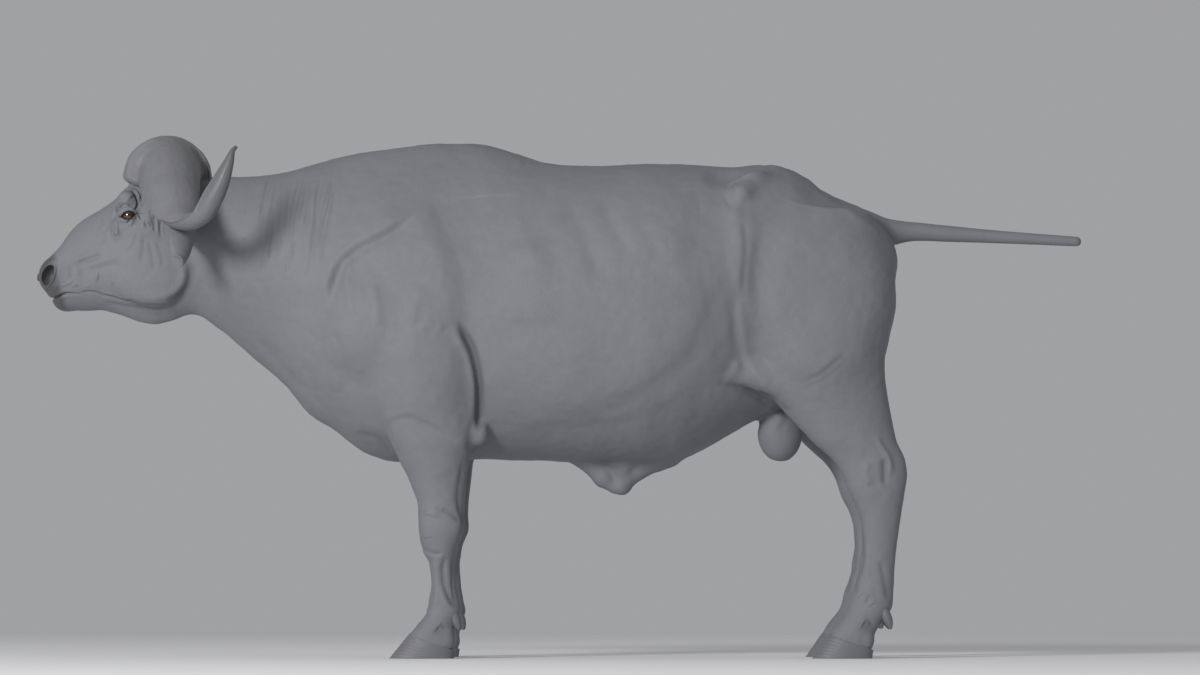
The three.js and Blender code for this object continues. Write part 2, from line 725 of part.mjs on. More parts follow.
// A ring of the trunk leans back by its lean; a ring of a leg climbs to the rear by its rise
const upright = (x, z, lean) => ({ centre: [x, 0, z], a: [lean, 0, 1], b: [0, 1, 0] });
const level = (x, y, z, rise) => ({ centre: [x, y, z], a: [1, 0, rise], b: [0, 1, 0] });

const group = new THREE.Group();
function add(name, solid, look) {
  const { vertProperties, triVerts, numProp } = largest(solid).getMesh();
  const positions = new Float32Array((vertProperties.length / numProp) * 3);
  for (let i = 0; i < positions.length / 3; i++)
    positions.set(vertProperties.subarray(i * numProp, i * numProp + 3), i * 3);
  const geometry = new THREE.BufferGeometry();
  geometry.setAttribute("position", new THREE.BufferAttribute(positions, 3));
  geometry.setIndex(new THREE.BufferAttribute(triVerts, 1));
  geometry.computeVertexNormals();
  const mesh = new THREE.Mesh(geometry, new THREE.MeshStandardMaterial(look));
  mesh.name = name;
  group.add(mesh);
}
const SIDES = [
  ["left", mirrored],
  ["right", (solid) => solid],
];

// Head, horns, ears and eyes
const hornCutter = horn(GAP);
const headRings = spread(30, (t) => {
  const x = mix(MUZZLE_X + 1, NECK_CUT.x, t ** 1.6);
  const [, top, bottom] = headAt(x);
  return upright(x, (top + bottom) / 2, NECK_CUT.lean * t ** 3);
});
let head = cast(hide, headRings, 34, 260);
for (const [, place] of SIDES) head = head.add(place(lids()));
for (const [, place] of SIDES)
  for (const cutter of [hornCutter, ear(GAP), ball(EYE, GAP), aperture(), nostril(), mouth()])
    head = head.subtract(place(cutter));
add("head", head, HIDE);
for (const [side, place] of SIDES) {
  add("horn_" + side, place(horn(0)), HORN_LOOK);
  add("ear_" + side, place(ear(0).subtract(hornCutter)), HIDE);
  add("eye_" + side, place(ball(EYE, 0)), EYE_LOOK);
}

// Neck
const neckRings = spread(12, (t) => {
  const x = mix(NECK_CUT.x + GAP, SHOULDER_CUT.x, t);
  const [, top, bottom] = trunkAt(x);
  return upright(x, mix(NECK_CUT.z, SHOULDER_CUT.z, t), mix(NECK_CUT.lean, SHOULDER_CUT.lean, t), top, bottom);
});
let neck = cast(hide, neckRings, 30, 700);
for (const [, place] of SIDES) neck = neck.subtract(place(hornCutter)).subtract(place(ear(GAP)));
add("neck", neck, HIDE);

// Tail
const tailAt = curves(TAIL);
const tailRings = spread(13, (t) => {
  const x = mix(TAIL_CUT.x + GAP, TAIL_TIP_X - 1, 1 - (1 - t) ** 1.3);
  return upright(x, tailAt(x)[2], 0);
});
add("tail", cast(hide, tailRings, 12, 120), HIDE);

// Sheath and scrotum
const sheathRings = spread(6, (t) => level(SHEATH_CUT.x, 0, mix(SHEATH_CUT.z - GAP, 512.5, 1 - (1 - t) ** 1.6), 0));
add("sheath", cast(hide, sheathRings, 14, 180), HIDE);
const scrotumX = 686;
const scrotumTop = STIFLE_CUT.z + STIFLE_CUT.rise * (scrotumX - STIFLE_CUT.x) - GAP;
const scrotumRings = spread(9, (t) =>
  level(scrotumX, 0, mix(scrotumTop, 611, 1 - (1 - t) ** 1.7), STIFLE_CUT.rise * Math.max(1 - 2 * t, 0)),
);
add("scrotum", cast(hide, scrotumRings, 14, 120), HIDE);

// Legs, with their hooves and dewclaws
const LEGS = [
  { name: "foreleg", table: forelegAt, top: ELBOW_CUT, rings: 17, hoof: FOREHOOF, spur: FORE_DEWCLAW },
  { name: "hindleg", table: hindlegAt, top: STIFLE_CUT, rings: 21, hoof: HINDHOOF, spur: HIND_DEWCLAW },
];
for (const { name, table, top, rings, hoof, spur } of LEGS) {
  const coronetRise = (hoof.heelTop[1] - hoof.toeTop[1]) / (hoof.heelTop[0] - hoof.toeTop[0]);
  const coronetX = (hoof.heelTop[0] + hoof.toeTop[0]) / 2;
  const coronetZ = (hoof.heelTop[1] + hoof.toeTop[1]) / 2;
  const middleX = (z) => (table(z)[1] + table(z)[2]) / 2;
  const topX = middleX(top.z + top.rise * 200);
  const topZ = top.z + top.rise * (topX - top.x) - GAP;
  const legRings = spread(rings, (t) => {
    const z = mix(topZ, coronetZ, t);
    const above = Math.max(1 - 4 * t, 0);
    const below = THREE.MathUtils.smoothstep(t, 0.8, 1);
    const x = mix(mix(middleX(z), topX, above), coronetX, below);
    const [, , , inner, outer] = table(z);
    return level(x, (inner + outer) / 2, z, top.rise * above + coronetRise * below);
  });
  let flesh = cast(hide, legRings, 16, 230);
  for (const out of [-1, 1]) flesh = flesh.subtract(dewclaw(spur, out, GAP));
  for (const [side, place] of SIDES) {
    add(name + "_" + side, place(flesh), HIDE);
    for (const [which, out] of [["inner", -1], ["outer", 1]]) {
      add(`${name}_hoof_${which}_${side}`, place(claw(hoof, out, 0)), HOOF_LOOK);
      add(`${name}_dewclaw_${which}_${side}`, place(dewclaw(spur, out, 0)), HOOF_LOOK);
    }
  }
}

// Torso: the rest of the hide, without what the other nodes take
const wedge = ({ x, z, rise }, from, to) =>
  halfSpace([x, 0, z], [rise, 0, -1]).intersect(block([from, -500, 0], [to, 500, 1200]));
add(
  "torso",
  surface(hide, [-860, -460, 500], [1200, 460, 1700], [64, 54, 54])
    .intersect(halfSpace([SHOULDER_CUT.x + GAP, 0, SHOULDER_CUT.z], [1, 0, -SHOULDER_CUT.lean]))
    .intersect(halfSpace([TAIL_CUT.x, 0, TAIL_CUT.z], [-1, 0, 0]))
    .subtract(wedge(ELBOW_CUT, -760, -150))
    .subtract(wedge(SHEATH_CUT, -150, 500))
    .subtract(wedge(STIFLE_CUT, 590, 1200)),
  HIDE,
);

export default group;
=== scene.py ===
"""An African buffalo bull as a life-size museum model, dressed over its solid frame."""

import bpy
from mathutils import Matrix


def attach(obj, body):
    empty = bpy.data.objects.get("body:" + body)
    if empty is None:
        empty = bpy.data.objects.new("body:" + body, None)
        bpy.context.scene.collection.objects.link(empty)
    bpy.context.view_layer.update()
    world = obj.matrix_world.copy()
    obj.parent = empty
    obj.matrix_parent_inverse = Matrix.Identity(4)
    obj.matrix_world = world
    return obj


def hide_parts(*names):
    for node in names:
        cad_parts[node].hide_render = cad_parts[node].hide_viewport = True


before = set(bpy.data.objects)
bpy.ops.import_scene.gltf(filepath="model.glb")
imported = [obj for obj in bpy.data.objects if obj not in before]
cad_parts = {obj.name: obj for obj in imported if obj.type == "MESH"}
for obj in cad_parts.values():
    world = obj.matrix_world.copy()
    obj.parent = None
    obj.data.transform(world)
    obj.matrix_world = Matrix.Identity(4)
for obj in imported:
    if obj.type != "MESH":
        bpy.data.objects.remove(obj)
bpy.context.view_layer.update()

import math

import bmesh
import bpy
import numpy as np
from mathutils import Vector

bl_info = {
    "name": "African buffalo bull",
    "version": (1, 0, 0),
    "blender": (4, 5, 0),
    "location": "View3D > Sidebar > Buffalo",
    "description": "Builds the hide, horns, eyes, hooves and stage of a life-size African buffalo bull",
    "category": "Add Mesh",
}

# Every length below is in millimetres, as in the solids; meshes are made in metres.
MM = 0.001

# Trunk and neck sections:
# x, top z, bottom z, half width, height share of the widest level, roundness above it, roundness below it
TRUNK = [
    (-1240, 1440, 1118, 96, 0.50, 2.0, 2.0),
    (-1150, 1478, 1078, 122, 0.52, 2.0, 1.7),
    (-1060, 1498, 1020, 144, 0.55, 2.0, 1.6),
    (-960, 1501, 936, 170, 0.58, 2.0, 1.6),
    (-860, 1513, 850, 202, 0.57, 1.9, 1.7),
    (-780, 1535, 758, 228, 0.54, 1.8, 1.8),
    (-700, 1558, 704, 250, 0.48, 1.7, 1.9),
    (-600, 1578, 634, 272, 0.45, 1.65, 2.0),
    (-490, 1592, 606, 290, 0.44, 1.6, 2.1),
    (-370, 1605, 608, 302, 0.44, 1.55, 2.1),
    (-250, 1602, 616, 312, 0.44, 1.6, 2.1),
    (-140, 1574, 613, 326, 0.44, 1.7, 2.1),
    (-40, 1543, 611, 340, 0.44, 1.8, 2.1),
    (100, 1533, 604, 352, 0.44, 1.9, 2.1),
    (240, 1538, 600, 354, 0.45, 2.0, 2.1),
    (340, 1539, 606, 344, 0.46, 2.1, 2.0),
    (440, 1534, 642, 324, 0.48, 2.2, 2.0),
    (530, 1528, 694, 300, 0.50, 2.3, 2.0),
    (620, 1534, 742, 280, 0.52, 2.4, 2.0),
    (710, 1522, 770, 268, 0.54, 2.3, 2.0),
    (800, 1467, 810, 255, 0.55, 2.1, 2.0),
    (900, 1415, 870, 228, 0.56, 1.9, 2.0),
    (990, 1372, 960, 165, 0.58, 1.8, 2.0),
    (1070, 1345, 1050, 60, 0.60, 1.8, 2.0),
]
# Head sections, in the same columns
HEAD = [
    (-1627, 1196, 1172, 14, 0.50, 2.0, 2.0),
    (-1620, 1214, 1157, 50, 0.50, 2.2, 2.2),
    (-1596, 1243, 1128, 78, 0.50, 2.3, 2.3),
    (-1563, 1279, 1102, 84, 0.44, 2.2, 2.4),
    (-1530, 1328, 1085, 80, 0.42, 2.1, 2.4),
    (-1486, 1368, 1080, 80, 0.42, 2.0, 2.2),
    (-1440, 1395, 1081, 88, 0.44, 2.1, 1.9),
    (-1399, 1422, 1074, 100, 0.50, 2.3, 1.7),
    (-1360, 1460, 1063, 114, 0.55, 2.5, 1.6),
    (-1311, 1500, 1046, 122, 0.57, 2.6, 1.5),
    (-1265, 1535, 1039, 124, 0.56, 2.6, 1.5),
    (-1218, 1540, 1047, 120, 0.54, 2.4, 1.6),
    (-1160, 1515, 1070, 108, 0.54, 2.2, 1.7),
    (-1100, 1490, 1104, 90, 0.54, 2.0, 1.8),
]
# Legs: z, front x, back x, inner y, outer y, roundness
FORELEG = [
    (1130, -640, -300, 110, 238, 2.0),
    (1000, -606, -282, 105, 294, 2.0),
    (900, -578, -266, 100, 318, 2.1),
    (800, -556, -254, 100, 312, 2.1),
    (730, -538, -250, 106, 300, 2.1),
    (675, -523, -256, 114, 288, 2.1),
    (610, -492, -276, 126, 277, 2.1),
    (530, -455, -286, 136, 266, 2.1),
    (460, -433, -291, 141, 262, 2.2),
    (405, -431, -287, 139, 265, 2.4),
    (340, -420, -310, 145, 258, 2.3),
    (290, -396, -318, 155, 248, 2.1),
    (230, -392, -315, 159, 244, 2.1),
    (180, -398, -307, 153, 248, 2.1),
    (145, -404, -300, 144, 257, 2.3),
    (100, -438, -316, 142, 260, 2.4),
    (60, -468, -320, 138, 262, 2.5),
    (10, -484, -324, 136, 264, 2.5),
]
HINDLEG = [
    (1380, 700, 955, 20, 225, 2.0),
    (1290, 620, 1003, 20, 252, 2.1),
    (1200, 580, 1036, 20, 274, 2.1),
    (1100, 562, 1038, 24, 287, 2.2),
    (1000, 574, 1020, 34, 292, 2.2),
    (900, 598, 1002, 48, 289, 2.2),
    (860, 617, 1003, 60, 284, 2.1),
    (800, 655, 1010, 82, 277, 2.0),
    (742, 705, 1020, 100, 268, 2.0),
    (665, 776, 1036, 124, 257, 2.0),
    (604, 843, 1062, 144, 250, 2.1),
    (560, 870, 1067, 150, 252, 2.2),
    (515, 885, 1060, 151, 254, 2.3),
    (460, 911, 1051, 156, 250, 2.2),
    (408, 925, 1043, 161, 244, 2.1),
    (360, 926, 1036, 163, 240, 2.1),
    (280, 919, 1028, 162, 241, 2.1),
    (203, 897, 1023, 153, 249, 2.1),
    (163, 887, 1020, 146, 256, 2.2),
    (111, 850, 988, 143, 259, 2.4),
    (75, 826, 966, 139, 262, 2.5),
    (10, 800, 950, 136, 265, 2.5),
]
# Chains of round bones and cords: x, y, z, radius
TAIL = [
    (880, 0, 1360, 62),
    (960, 0, 1338, 54),
    (1032, 0, 1325, 42),
    (1100, 0, 1328, 30),
    (1219, 0, 1321, 25),
    (1376, 0, 1311, 20),
    (1614, 0, 1297, 15),
]
HIP_CREST = [(560, 218, 1425, 32), (600, 172, 1462, 28), (665, 96, 1490, 26), (760, 66, 1452, 26)]
SHEATH = [
    (90, 0, 612, 34),
    (140, 0, 560, 32),
    (172, 0, 535, 23),
    (194, 0, 535, 23),
    (196, 0, 596, 46),
    (194, 0, 535, 23),
    (250, 0, 590, 32),
    (330, 0, 622, 32),
]
# Rounded masses: centre, radii, tilt about Y in degrees, width of the blend
BODY_MASSES = [
    ((-590, 205, 1010), (120, 88, 150), 10, 40),
    ((978, 112, 1240), (58, 55, 66), 0, 50),
    ((602, 222, 868), (105, 34, 42), -22, 30),
    ((-252, 215, 690), (34, 30, 40), 0, 18),
    ((686, 0, 694), (70, 60, 84), 0, 22),
]
HEEL_BULBS = [
    ((-344, 172, 52), (25, 27, 28), 0, 10),
    ((-344, 228, 52), (25, 27, 28), 0, 10),
    ((938, 172, 56), (24, 27, 30), 0, 10),
    ((938, 228, 56), (24, 27, 30), 0, 10),
]
HEAD_MASSES = [
    ((-1262, 76, 1196), (112, 46, 104), 0, 50),
    ((-1337, 98, 1402), (42, 35, 44), 0, 18),
    ((-1308, 96, 1328), (78, 30, 34), -8, 24),
    ((-1587, 40, 1190), (31, 40, 46), 0, 14),
    ((-1540, 0, 1112), (42, 52, 34), 0, 12),
    ((-1343, 112, 1413), (29, 29, 27), 30, 7),
    ((-1371, 108, 1325), (13, 12, 30), 4, 16),
    ((-1340, 112, 1338), (24, 14, 11), 10, 12),
    ((-1278, 112, 1360), (22, 12, 26), 0, 14),
]
# Reliefs on the flanks, seen from the side: centre x and z, radii, tilt in degrees, height, softness of the edge
RELIEFS = [
    ((-490, 1205), (225, 285), -20, 20, 0.6),
    ((-390, 905), (128, 165), 0, 12, 0.6),
    ((815, 1120), (205, 320), 0, 16, 0.35),
    ((452, 1300), (92, 125), -14, -14, 0.9),
    ((500, 1478), (60, 34), 0, -14, 0.9),
]
EYE = (-1335, 108, 1367)
EYE_RADIUS = 26
APERTURE = (24, 13, 9)  # half length, half height, tilt in degrees
NOSTRIL = ((-1590, 69, 1185), (19, 30, 33), 22, -26)  # centre, radii, turn about Z, turn about Y
# Ear: root, tip, wall, and rows of share of the length, half width, opening angle in degrees
EAR_ROOT, EAR_TIP, EAR_WALL = (-1178, 96, 1368), (-1158, 338, 1212), 11
EAR_ROWS = [
    (0.0, 24, 150),
    (0.2, 33, 128),
    (0.42, 47, 102),
    (0.62, 51, 86),
    (0.8, 46, 76),
    (0.92, 36, 68),
    (1.0, 24, 62),
]
# Horn and boss: centre x, y, z, half width along the head, rise above the centre, depth below it,
# and sharpness of the front edge
HORN = [
    (-1228, 2, 1500, 136, 128, 40, 0),
    (-1227, 45, 1498, 133, 125, 44, 0),
    (-1213, 95, 1487, 99, 112, 46, 0.1),
    (-1204, 145, 1466, 92, 97, 46, 0.3),
    (-1193, 205, 1425, 85, 76, 42, 0.5),
    (-1175, 268, 1376, 73, 56, 38, 0.6),
    (-1154, 333, 1338, 54, 38, 32, 0.6),
    (-1119, 394, 1323, 38, 27, 26, 0.6),
    (-1077, 440, 1337, 29, 23, 23, 0.6),
    (-1042, 464, 1387, 30, 26, 26, 0.6),
    (-1014, 474, 1442, 24, 22, 22, 0.5),
    (-994, 476, 1495, 15, 14, 14, 0.4),
    (-983, 473, 1531, 8, 8, 8, 0.2),
    (-972, 470, 1544, 5, 5, 5, 0),
]
# Feet: top of the toe, top of the heel, toe and heel on the floor
HOOVES = [((-458, 76), (-318, 24), -519, -322), ((826, 75), (960, 26), 774, 956)]
LEG_Y = 200
CLAW_WIDTH = 64
CLEFT = 5
DEWCLAWS = [(-318, 116), (1000, 120)]
DEWCLAW_APART, DEWCLAW_LENGTH, DEWCLAW_HALF = 62, 62, 17

# Creases, folds and ridges of the hide, drawn on the side view: kind, width, height, points x and z.
# Two widths are those to the left and right of the line's direction.
# A step is raised on the left of its direction, or on the right where its height is negative.
FLANK_LINES = [
    ("step", 22, 15, [(-712, 1060), (-704, 1120), (-690, 1180), (-664, 1222), (-615, 1262), (-548, 1298),
              (-484, 1341), (-426, 1385)]),
    ("groove", (130, 46), 12, [(-352, 1500), (-372, 1420), (-355, 1360), (-327, 1300), (-299, 1235), (-281, 1144),
              (-270, 1037), (-262, 920), (-262, 860)]),
    ("groove", (13, 10), 15, [(-308, 1037), (-290, 991), (-268, 945), (-255, 899), (-246, 841), (-244, 780),
              (-245, 725), (-250, 683)]),
    ("ridge", 14, 5, [(-326, 1025), (-302, 970), (-277, 921), (-264, 866), (-260, 799), (-266, 725)]),
    ("groove", 14, 2, [(-247, 689), (-265, 662), (-283, 628)]),
    ("ridge", 15, 5, [(-641, 1236), (-647, 1168), (-641, 1101), (-625, 1031)]),
    ("ridge", 14, 3, [(-565, 1144), (-558, 1083), (-549, 1009)]),
    ("ridge", 26, 5, [(-421, 1140), (-433, 1091), (-448, 1049), (-470, 1012)]),
    ("ridge", 15, 4, [(-427, 1000), (-402, 1015), (-375, 1012), (-351, 997)]),
    ("groove", 20, 4, [(-479, 988), (-497, 945), (-503, 896), (-503, 841)]),
    ("step", 17, 4, [(-532, 666), (-529, 712), (-498, 736), (-449, 738), (-401, 721), (-349, 693), (-303, 657),
              (-278, 635)]),
    ("groove", 11, 2.5, [(-640, 688), (-600, 687), (-567, 682), (-536, 652), (-518, 621)]),
    ("ridge", 28, 6, [(-724, 971), (-706, 934), (-690, 873), (-681, 812)]),
    ("groove", 20, 4, [(-686, 1003), (-670, 941), (-655, 874), (-651, 804)]),
    ("groove", (20, 14), 5, [(-991, 1050), (-911, 952), (-874, 918), (-824, 857), (-775, 820), (-744, 789),
              (-701, 743)]),
    ("groove", 16, 3, [(-793, 905), (-768, 856), (-738, 807)]),
    ("ridge", 70, 9, [(-95, 1290), (-85, 1200), (-85, 1100), (-95, 1010)]),
    ("groove", 30, 4, [(3, 1411), (46, 1352), (82, 1282), (113, 1206), (134, 1135)]),
    ("groove", 30, 4, [(125, 1408), (159, 1346), (192, 1273), (222, 1200)]),
    ("groove", 30, 3.6, [(223, 1395), (259, 1322), (286, 1255), (317, 1206)]),
    ("groove", 32, 3, [(-113, 1395), (-64, 1319), (-24, 1236), (3, 1145)]),
    ("step", 46, 5.5, [(-161, 748), (-54, 754), (52, 764), (143, 782), (250, 831), (341, 901), (402, 968),
              (432, 1044), (439, 1120), (430, 1196)]),
    ("step", 34, 4, [(-161, 712), (-24, 718), (125, 728), (247, 752), (399, 798)]),
    ("ridge", 7, 9, [(516, 1450), (535, 1460), (556, 1472), (587, 1485), (624, 1491), (664, 1490)]),
    ("ridge", 26, 3.5, [(430, 1382), (481, 1380), (520, 1392)]),
    ("ridge", 26, 8, [(524, 1420), (536, 1385), (545, 1340), (550, 1292), (557, 1246), (552, 1203), (548, 1148),
              (550, 1090)]),
    ("ridge", 19, 4, [(566, 1400), (584, 1345), (590, 1276), (583, 1209), (577, 1142), (588, 1077), (601, 1025)]),
    ("groove", 9, 2.2, [(563, 1340), (568, 1292), (568, 1221), (560, 1160), (562, 1093)]),
    ("step", 22, 8, [(547, 1145), (548, 1078), (553, 1016), (562, 955), (577, 903), (601, 854), (644, 799),
              (680, 750)]),
    ("groove", 15, 2, [(537, 1056), (531, 995), (534, 934), (519, 885), (485, 836)]),
    ("step", 15, 8, [(709, 740), (691, 752), (645, 779), (599, 801), (538, 819), (471, 834)]),
    ("ridge", 16, 4, [(504, 837), (534, 873), (553, 910)]),
    ("groove", 9, 2, [(717, 836), (778, 855), (833, 894), (879, 937)]),
    ("groove", 9, 2, [(732, 821), (800, 845), (855, 888), (885, 916)]),
    ("groove", 9, 1.6, [(739, 842), (797, 864), (846, 903), (882, 928)]),
    ("ridge", 14, 4, [(717, 1482), (784, 1451), (858, 1396), (919, 1349), (975, 1309), (1015, 1275)]),
    ("ridge", 9, 6, [(969, 685), (984, 648), (1002, 621), (1013, 587), (1005, 550)]),
    ("groove", (7, 9), 6, [(993, 612), (995, 575), (993, 526)]),
    ("ridge", 13, 4, [(944, 599), (938, 563), (950, 526)]),
]
LEG_LINES = [
    ("groove", 8, 4, [(-291, 630), (-297, 575), (-306, 514), (-306, 468), (-294, 428), (-290, 401), (-300, 361),
              (-314, 315)]),
    ("groove", 8, 6, [(-345, 312), (-355, 276), (-351, 227), (-336, 190), (-315, 151)]),
    ("groove", 5, 3, [(-326, 309), (-326, 254), (-323, 203), (-314, 157)]),
    ("ridge", 8, 4, [(-379, 306), (-376, 254), (-375, 184), (-382, 154)]),
    ("groove", 7, 3, [(-360, 455), (-327, 440), (-302, 416)]),
    ("step", 8, -4, [(-424, 337), (-403, 321), (-375, 312), (-350, 318)]),
    ("ridge", 14, 4, [(-385, 470), (-381, 450), (-386, 430)]),
    ("ridge", 12, 3, [(-403, 455), (-402, 436)]),
    ("ridge", 12, 3, [(-403, 390), (-400, 366)]),
    ("ridge", 6, 3, [(-409, 154), (-394, 145), (-382, 154)]),
    ("groove", 16, 7, [(-372, 95), (-357, 85), (-340, 98)]),
    ("ridge", 7, 4, [(908, 441), (910, 377), (919, 315), (910, 261), (888, 215), (885, 166)]),
    ("groove", 6, 3, [(896, 441), (899, 361), (894, 300), (879, 245), (873, 190)]),
    ("groove", 7, 4, [(926, 434), (928, 346), (925, 285), (910, 239), (903, 178)]),
    ("ridge", 9, 3, [(946, 337), (943, 285), (939, 233)]),
    ("groove", 9, 3, [(981, 300), (993, 239), (1005, 178)]),
    ("ridge", 14, 4, [(922, 196), (930, 187), (940, 180)]),
    ("ridge", 13, 3, [(948, 174), (956, 164)]),
    ("groove", 15, 6, [(925, 108), (942, 100), (958, 108)]),
]
FACE_LINES = [
    ("ridge", 17, 8, [(-1358, 1414), (-1343, 1425), (-1329, 1416)]),
    ("groove", 3.6, 8, [(-1329, 1447), (-1318, 1436), (-1310, 1422), (-1306, 1407), (-1309, 1393),
              (-1316, 1382)]),
    ("groove", 2.6, 2, [(-1363, 1440), (-1348, 1446), (-1329, 1447)]),
    ("ridge", 3.4, 4, [(-1332, 1452), (-1317, 1444), (-1307, 1432), (-1303, 1419)]),
    ("groove", 3.2, 5, [(-1342, 1461), (-1329, 1460), (-1320, 1452), (-1307, 1445), (-1299, 1432),
              (-1298, 1418), (-1302, 1404)]),
    ("ridge", 4.4, 4, [(-1359, 1463), (-1347, 1470), (-1329, 1467), (-1314, 1456), (-1298, 1441),
              (-1288, 1424)]),
    ("groove", 2.6, 2.4, [(-1372, 1372), (-1374, 1388), (-1367, 1398), (-1353, 1404), (-1338, 1404)]),
    ("groove", 2.8, 5, [(-1367, 1373), (-1364, 1388), (-1357, 1396), (-1345, 1400), (-1331, 1398),
              (-1319, 1391)]),
    ("ridge", 2.8, 3.4, [(-1362, 1379), (-1355, 1391), (-1340, 1393), (-1328, 1390), (-1317, 1381)]),
    ("groove", 2.6, 2.6, [(-1363, 1353), (-1357, 1343), (-1350, 1337)]),
    ("groove", 2.6, 3, [(-1317, 1371), (-1326, 1358), (-1333, 1347), (-1342, 1341)]),
    ("ridge", 4, 2.8, [(-1312, 1376), (-1321, 1355), (-1330, 1332)]),
    ("ridge", 2.8, 3, [(-1362, 1361), (-1354, 1351), (-1343, 1349), (-1332, 1356), (-1323, 1369)]),
    ("ridge", 4, 5, [(-1376, 1412), (-1381, 1395), (-1386, 1376), (-1393, 1355)]),
    ("groove", 3.6, 5, [(-1373, 1387), (-1375, 1370), (-1380, 1357), (-1385, 1349)]),
    ("ridge", 5.5, 5, [(-1371, 1355), (-1371, 1329), (-1372, 1304)]),
    ("groove", 3, 2.2, [(-1384, 1348), (-1383, 1320), (-1377, 1295)]),
    ("groove", 2.4, 1.3, [(-1410, 1328), (-1402, 1333), (-1396, 1339)]),
    ("groove", 2.4, 1.3, [(-1415, 1319), (-1404, 1325), (-1395, 1332)]),
    ("groove", 3, 2.2, [(-1310, 1379), (-1301, 1366), (-1297, 1354)]),
    ("ridge", 3, 2, [(-1311, 1375), (-1304, 1360), (-1300, 1348)]),
    ("groove", 3, 2.4, [(-1284, 1352), (-1280, 1338), (-1272, 1326)]),
    ("ridge", 2.8, 2.6, [(-1279, 1349), (-1274, 1338), (-1269, 1330)]),
    ("ridge", 3.6, 2.2, [(-1289, 1343), (-1289, 1327)]),
    ("groove", 5, 3.6, [(-1255, 1372), (-1256, 1344), (-1252, 1315)]),
    ("ridge", 4, 2.2, [(-1246, 1363), (-1247, 1338), (-1243, 1313)]),
    ("groove", 4, 2.6, [(-1235, 1357), (-1237, 1326), (-1233, 1295)]),
    ("groove", 4, 2, [(-1270, 1385), (-1265, 1363), (-1263, 1344)]),
    ("groove", 6, 1.6, [(-1307, 1314), (-1318, 1283), (-1339, 1253)]),
    ("groove", 7, 1.8, [(-1287, 1301), (-1290, 1260), (-1298, 1220)]),
    ("groove", 7, 1.6, [(-1273, 1292), (-1261, 1242), (-1256, 1195)]),
    ("groove", 7, 1.4, [(-1247, 1285), (-1232, 1242), (-1227, 1198)]),
    ("ridge", 8, 3, [(-1507, 1231), (-1488, 1237), (-1464, 1246), (-1439, 1256), (-1423, 1265)]),
    ("groove", 9, 2.4, [(-1516, 1219), (-1488, 1224), (-1463, 1232), (-1438, 1240), (-1414, 1250)]),
    ("ridge", 11, 3.2, [(-1478, 1211), (-1450, 1219), (-1425, 1226), (-1394, 1234), (-1360, 1243)]),
    ("groove", 16, 2.4, [(-1493, 1194), (-1455, 1199), (-1425, 1203), (-1387, 1210), (-1350, 1219)]),
    ("groove", 8, 1.8, [(-1519, 1221), (-1517, 1197), (-1515, 1173)]),
    ("ridge", 9, 2, [(-1500, 1210), (-1500, 1182)]),
    ("ridge", 12, 4, [(-1445, 1182), (-1431, 1181)]),
    ("ridge", 10, 3, [(-1392, 1165), (-1381, 1164)]),
    ("ridge", 4, 2.6, [(-1549, 1153), (-1529, 1159), (-1513, 1166)]),
    ("ridge", 3.6, 2.4, [(-1516, 1153), (-1500, 1155)]),
    ("ridge", 9, 1, [(-1468, 1157), (-1464, 1150)]),
    ("groove", 3.4, 3.6, [(-1492, 1129), (-1480, 1133), (-1464, 1135), (-1442, 1133), (-1417, 1125),
              (-1390, 1119), (-1365, 1111), (-1340, 1105), (-1309, 1105)]),
    ("step", 6, 3, [(-1435, 1134), (-1410, 1126), (-1385, 1120), (-1357, 1110), (-1326, 1105)]),
    ("groove", 6, 3, [(-1352, 1108), (-1315, 1096), (-1271, 1090), (-1225, 1091), (-1178, 1095)]),
    ("groove", 6, 2.4, [(-1427, 1109), (-1384, 1097), (-1334, 1087), (-1284, 1082), (-1235, 1082),
              (-1185, 1089)]),
    ("groove", 13, 7, [(-1153, 1242), (-1145, 1199), (-1148, 1162), (-1164, 1134), (-1188, 1112),
              (-1222, 1100)]),
    ("ridge", 14, 5, [(-1167, 1223), (-1163, 1183), (-1179, 1146), (-1208, 1122), (-1253, 1112),
              (-1296, 1112)]),
    ("groove", 6, 1.4, [(-1421, 1368), (-1429, 1350), (-1433, 1328)]),
    ("groove", 6, 1.6, [(-1423, 1330), (-1416, 1306), (-1424, 1268)]),
    ("ridge", 4, 3, [(-1569, 1225), (-1566, 1202), (-1571, 1177), (-1583, 1157), (-1594, 1150)]),
    ("ridge", 8, 3, [(-1595, 1226), (-1577, 1232), (-1561, 1223)]),
]
MOUTH = [(-1640, 1116), (-1604, 1118), (-1567, 1117), (-1549, 1123), (-1532, 1129), (-1512, 1128), (-1487, 1127),
         (-1468, 1121)]
MOUTH_WIDTH, MOUTH_DEPTH, LIP_RISE = 3.6, 10, 2
LIP_LEVEL, MOUTH_BACK = 1124, -1430  # height of the lips, and how far back the mouth may reach
TOE_GROOVE_WIDTH, TOE_GROOVE_DEPTH = 8, 9
DARKEST_SHADE_DEPTH, CREASE_SHADE_SHARE = 9, 0.7  # depth of a crease that takes the darkest painted shade, and how much painted shade it then takes

# Where the hide is sampled, and how far back or up its finer parts reach
HIDE_LOW, HIDE_HIGH = (-1660, -420, -20), (1660, 420, 1640)
HEAD_BACK, NECK_BACK, NECK_LOW, LEG_TOP = -1080, -690, 1150, 480
FACE_LINES_BACK, LEG_LINES_TOP = -1050, 640

# Horn: valley and crest between the middle of the boss and the horn (y, width, height), rim of the lower edge
# (width, height), and the girth that its pattern is drawn to
BOSS_VALLEY, BOSS_CREST = (76, 10, 14), (98, 10, 8)
HORN_RIM = (0.13, 4.5)
HORN_GIRTH = 46
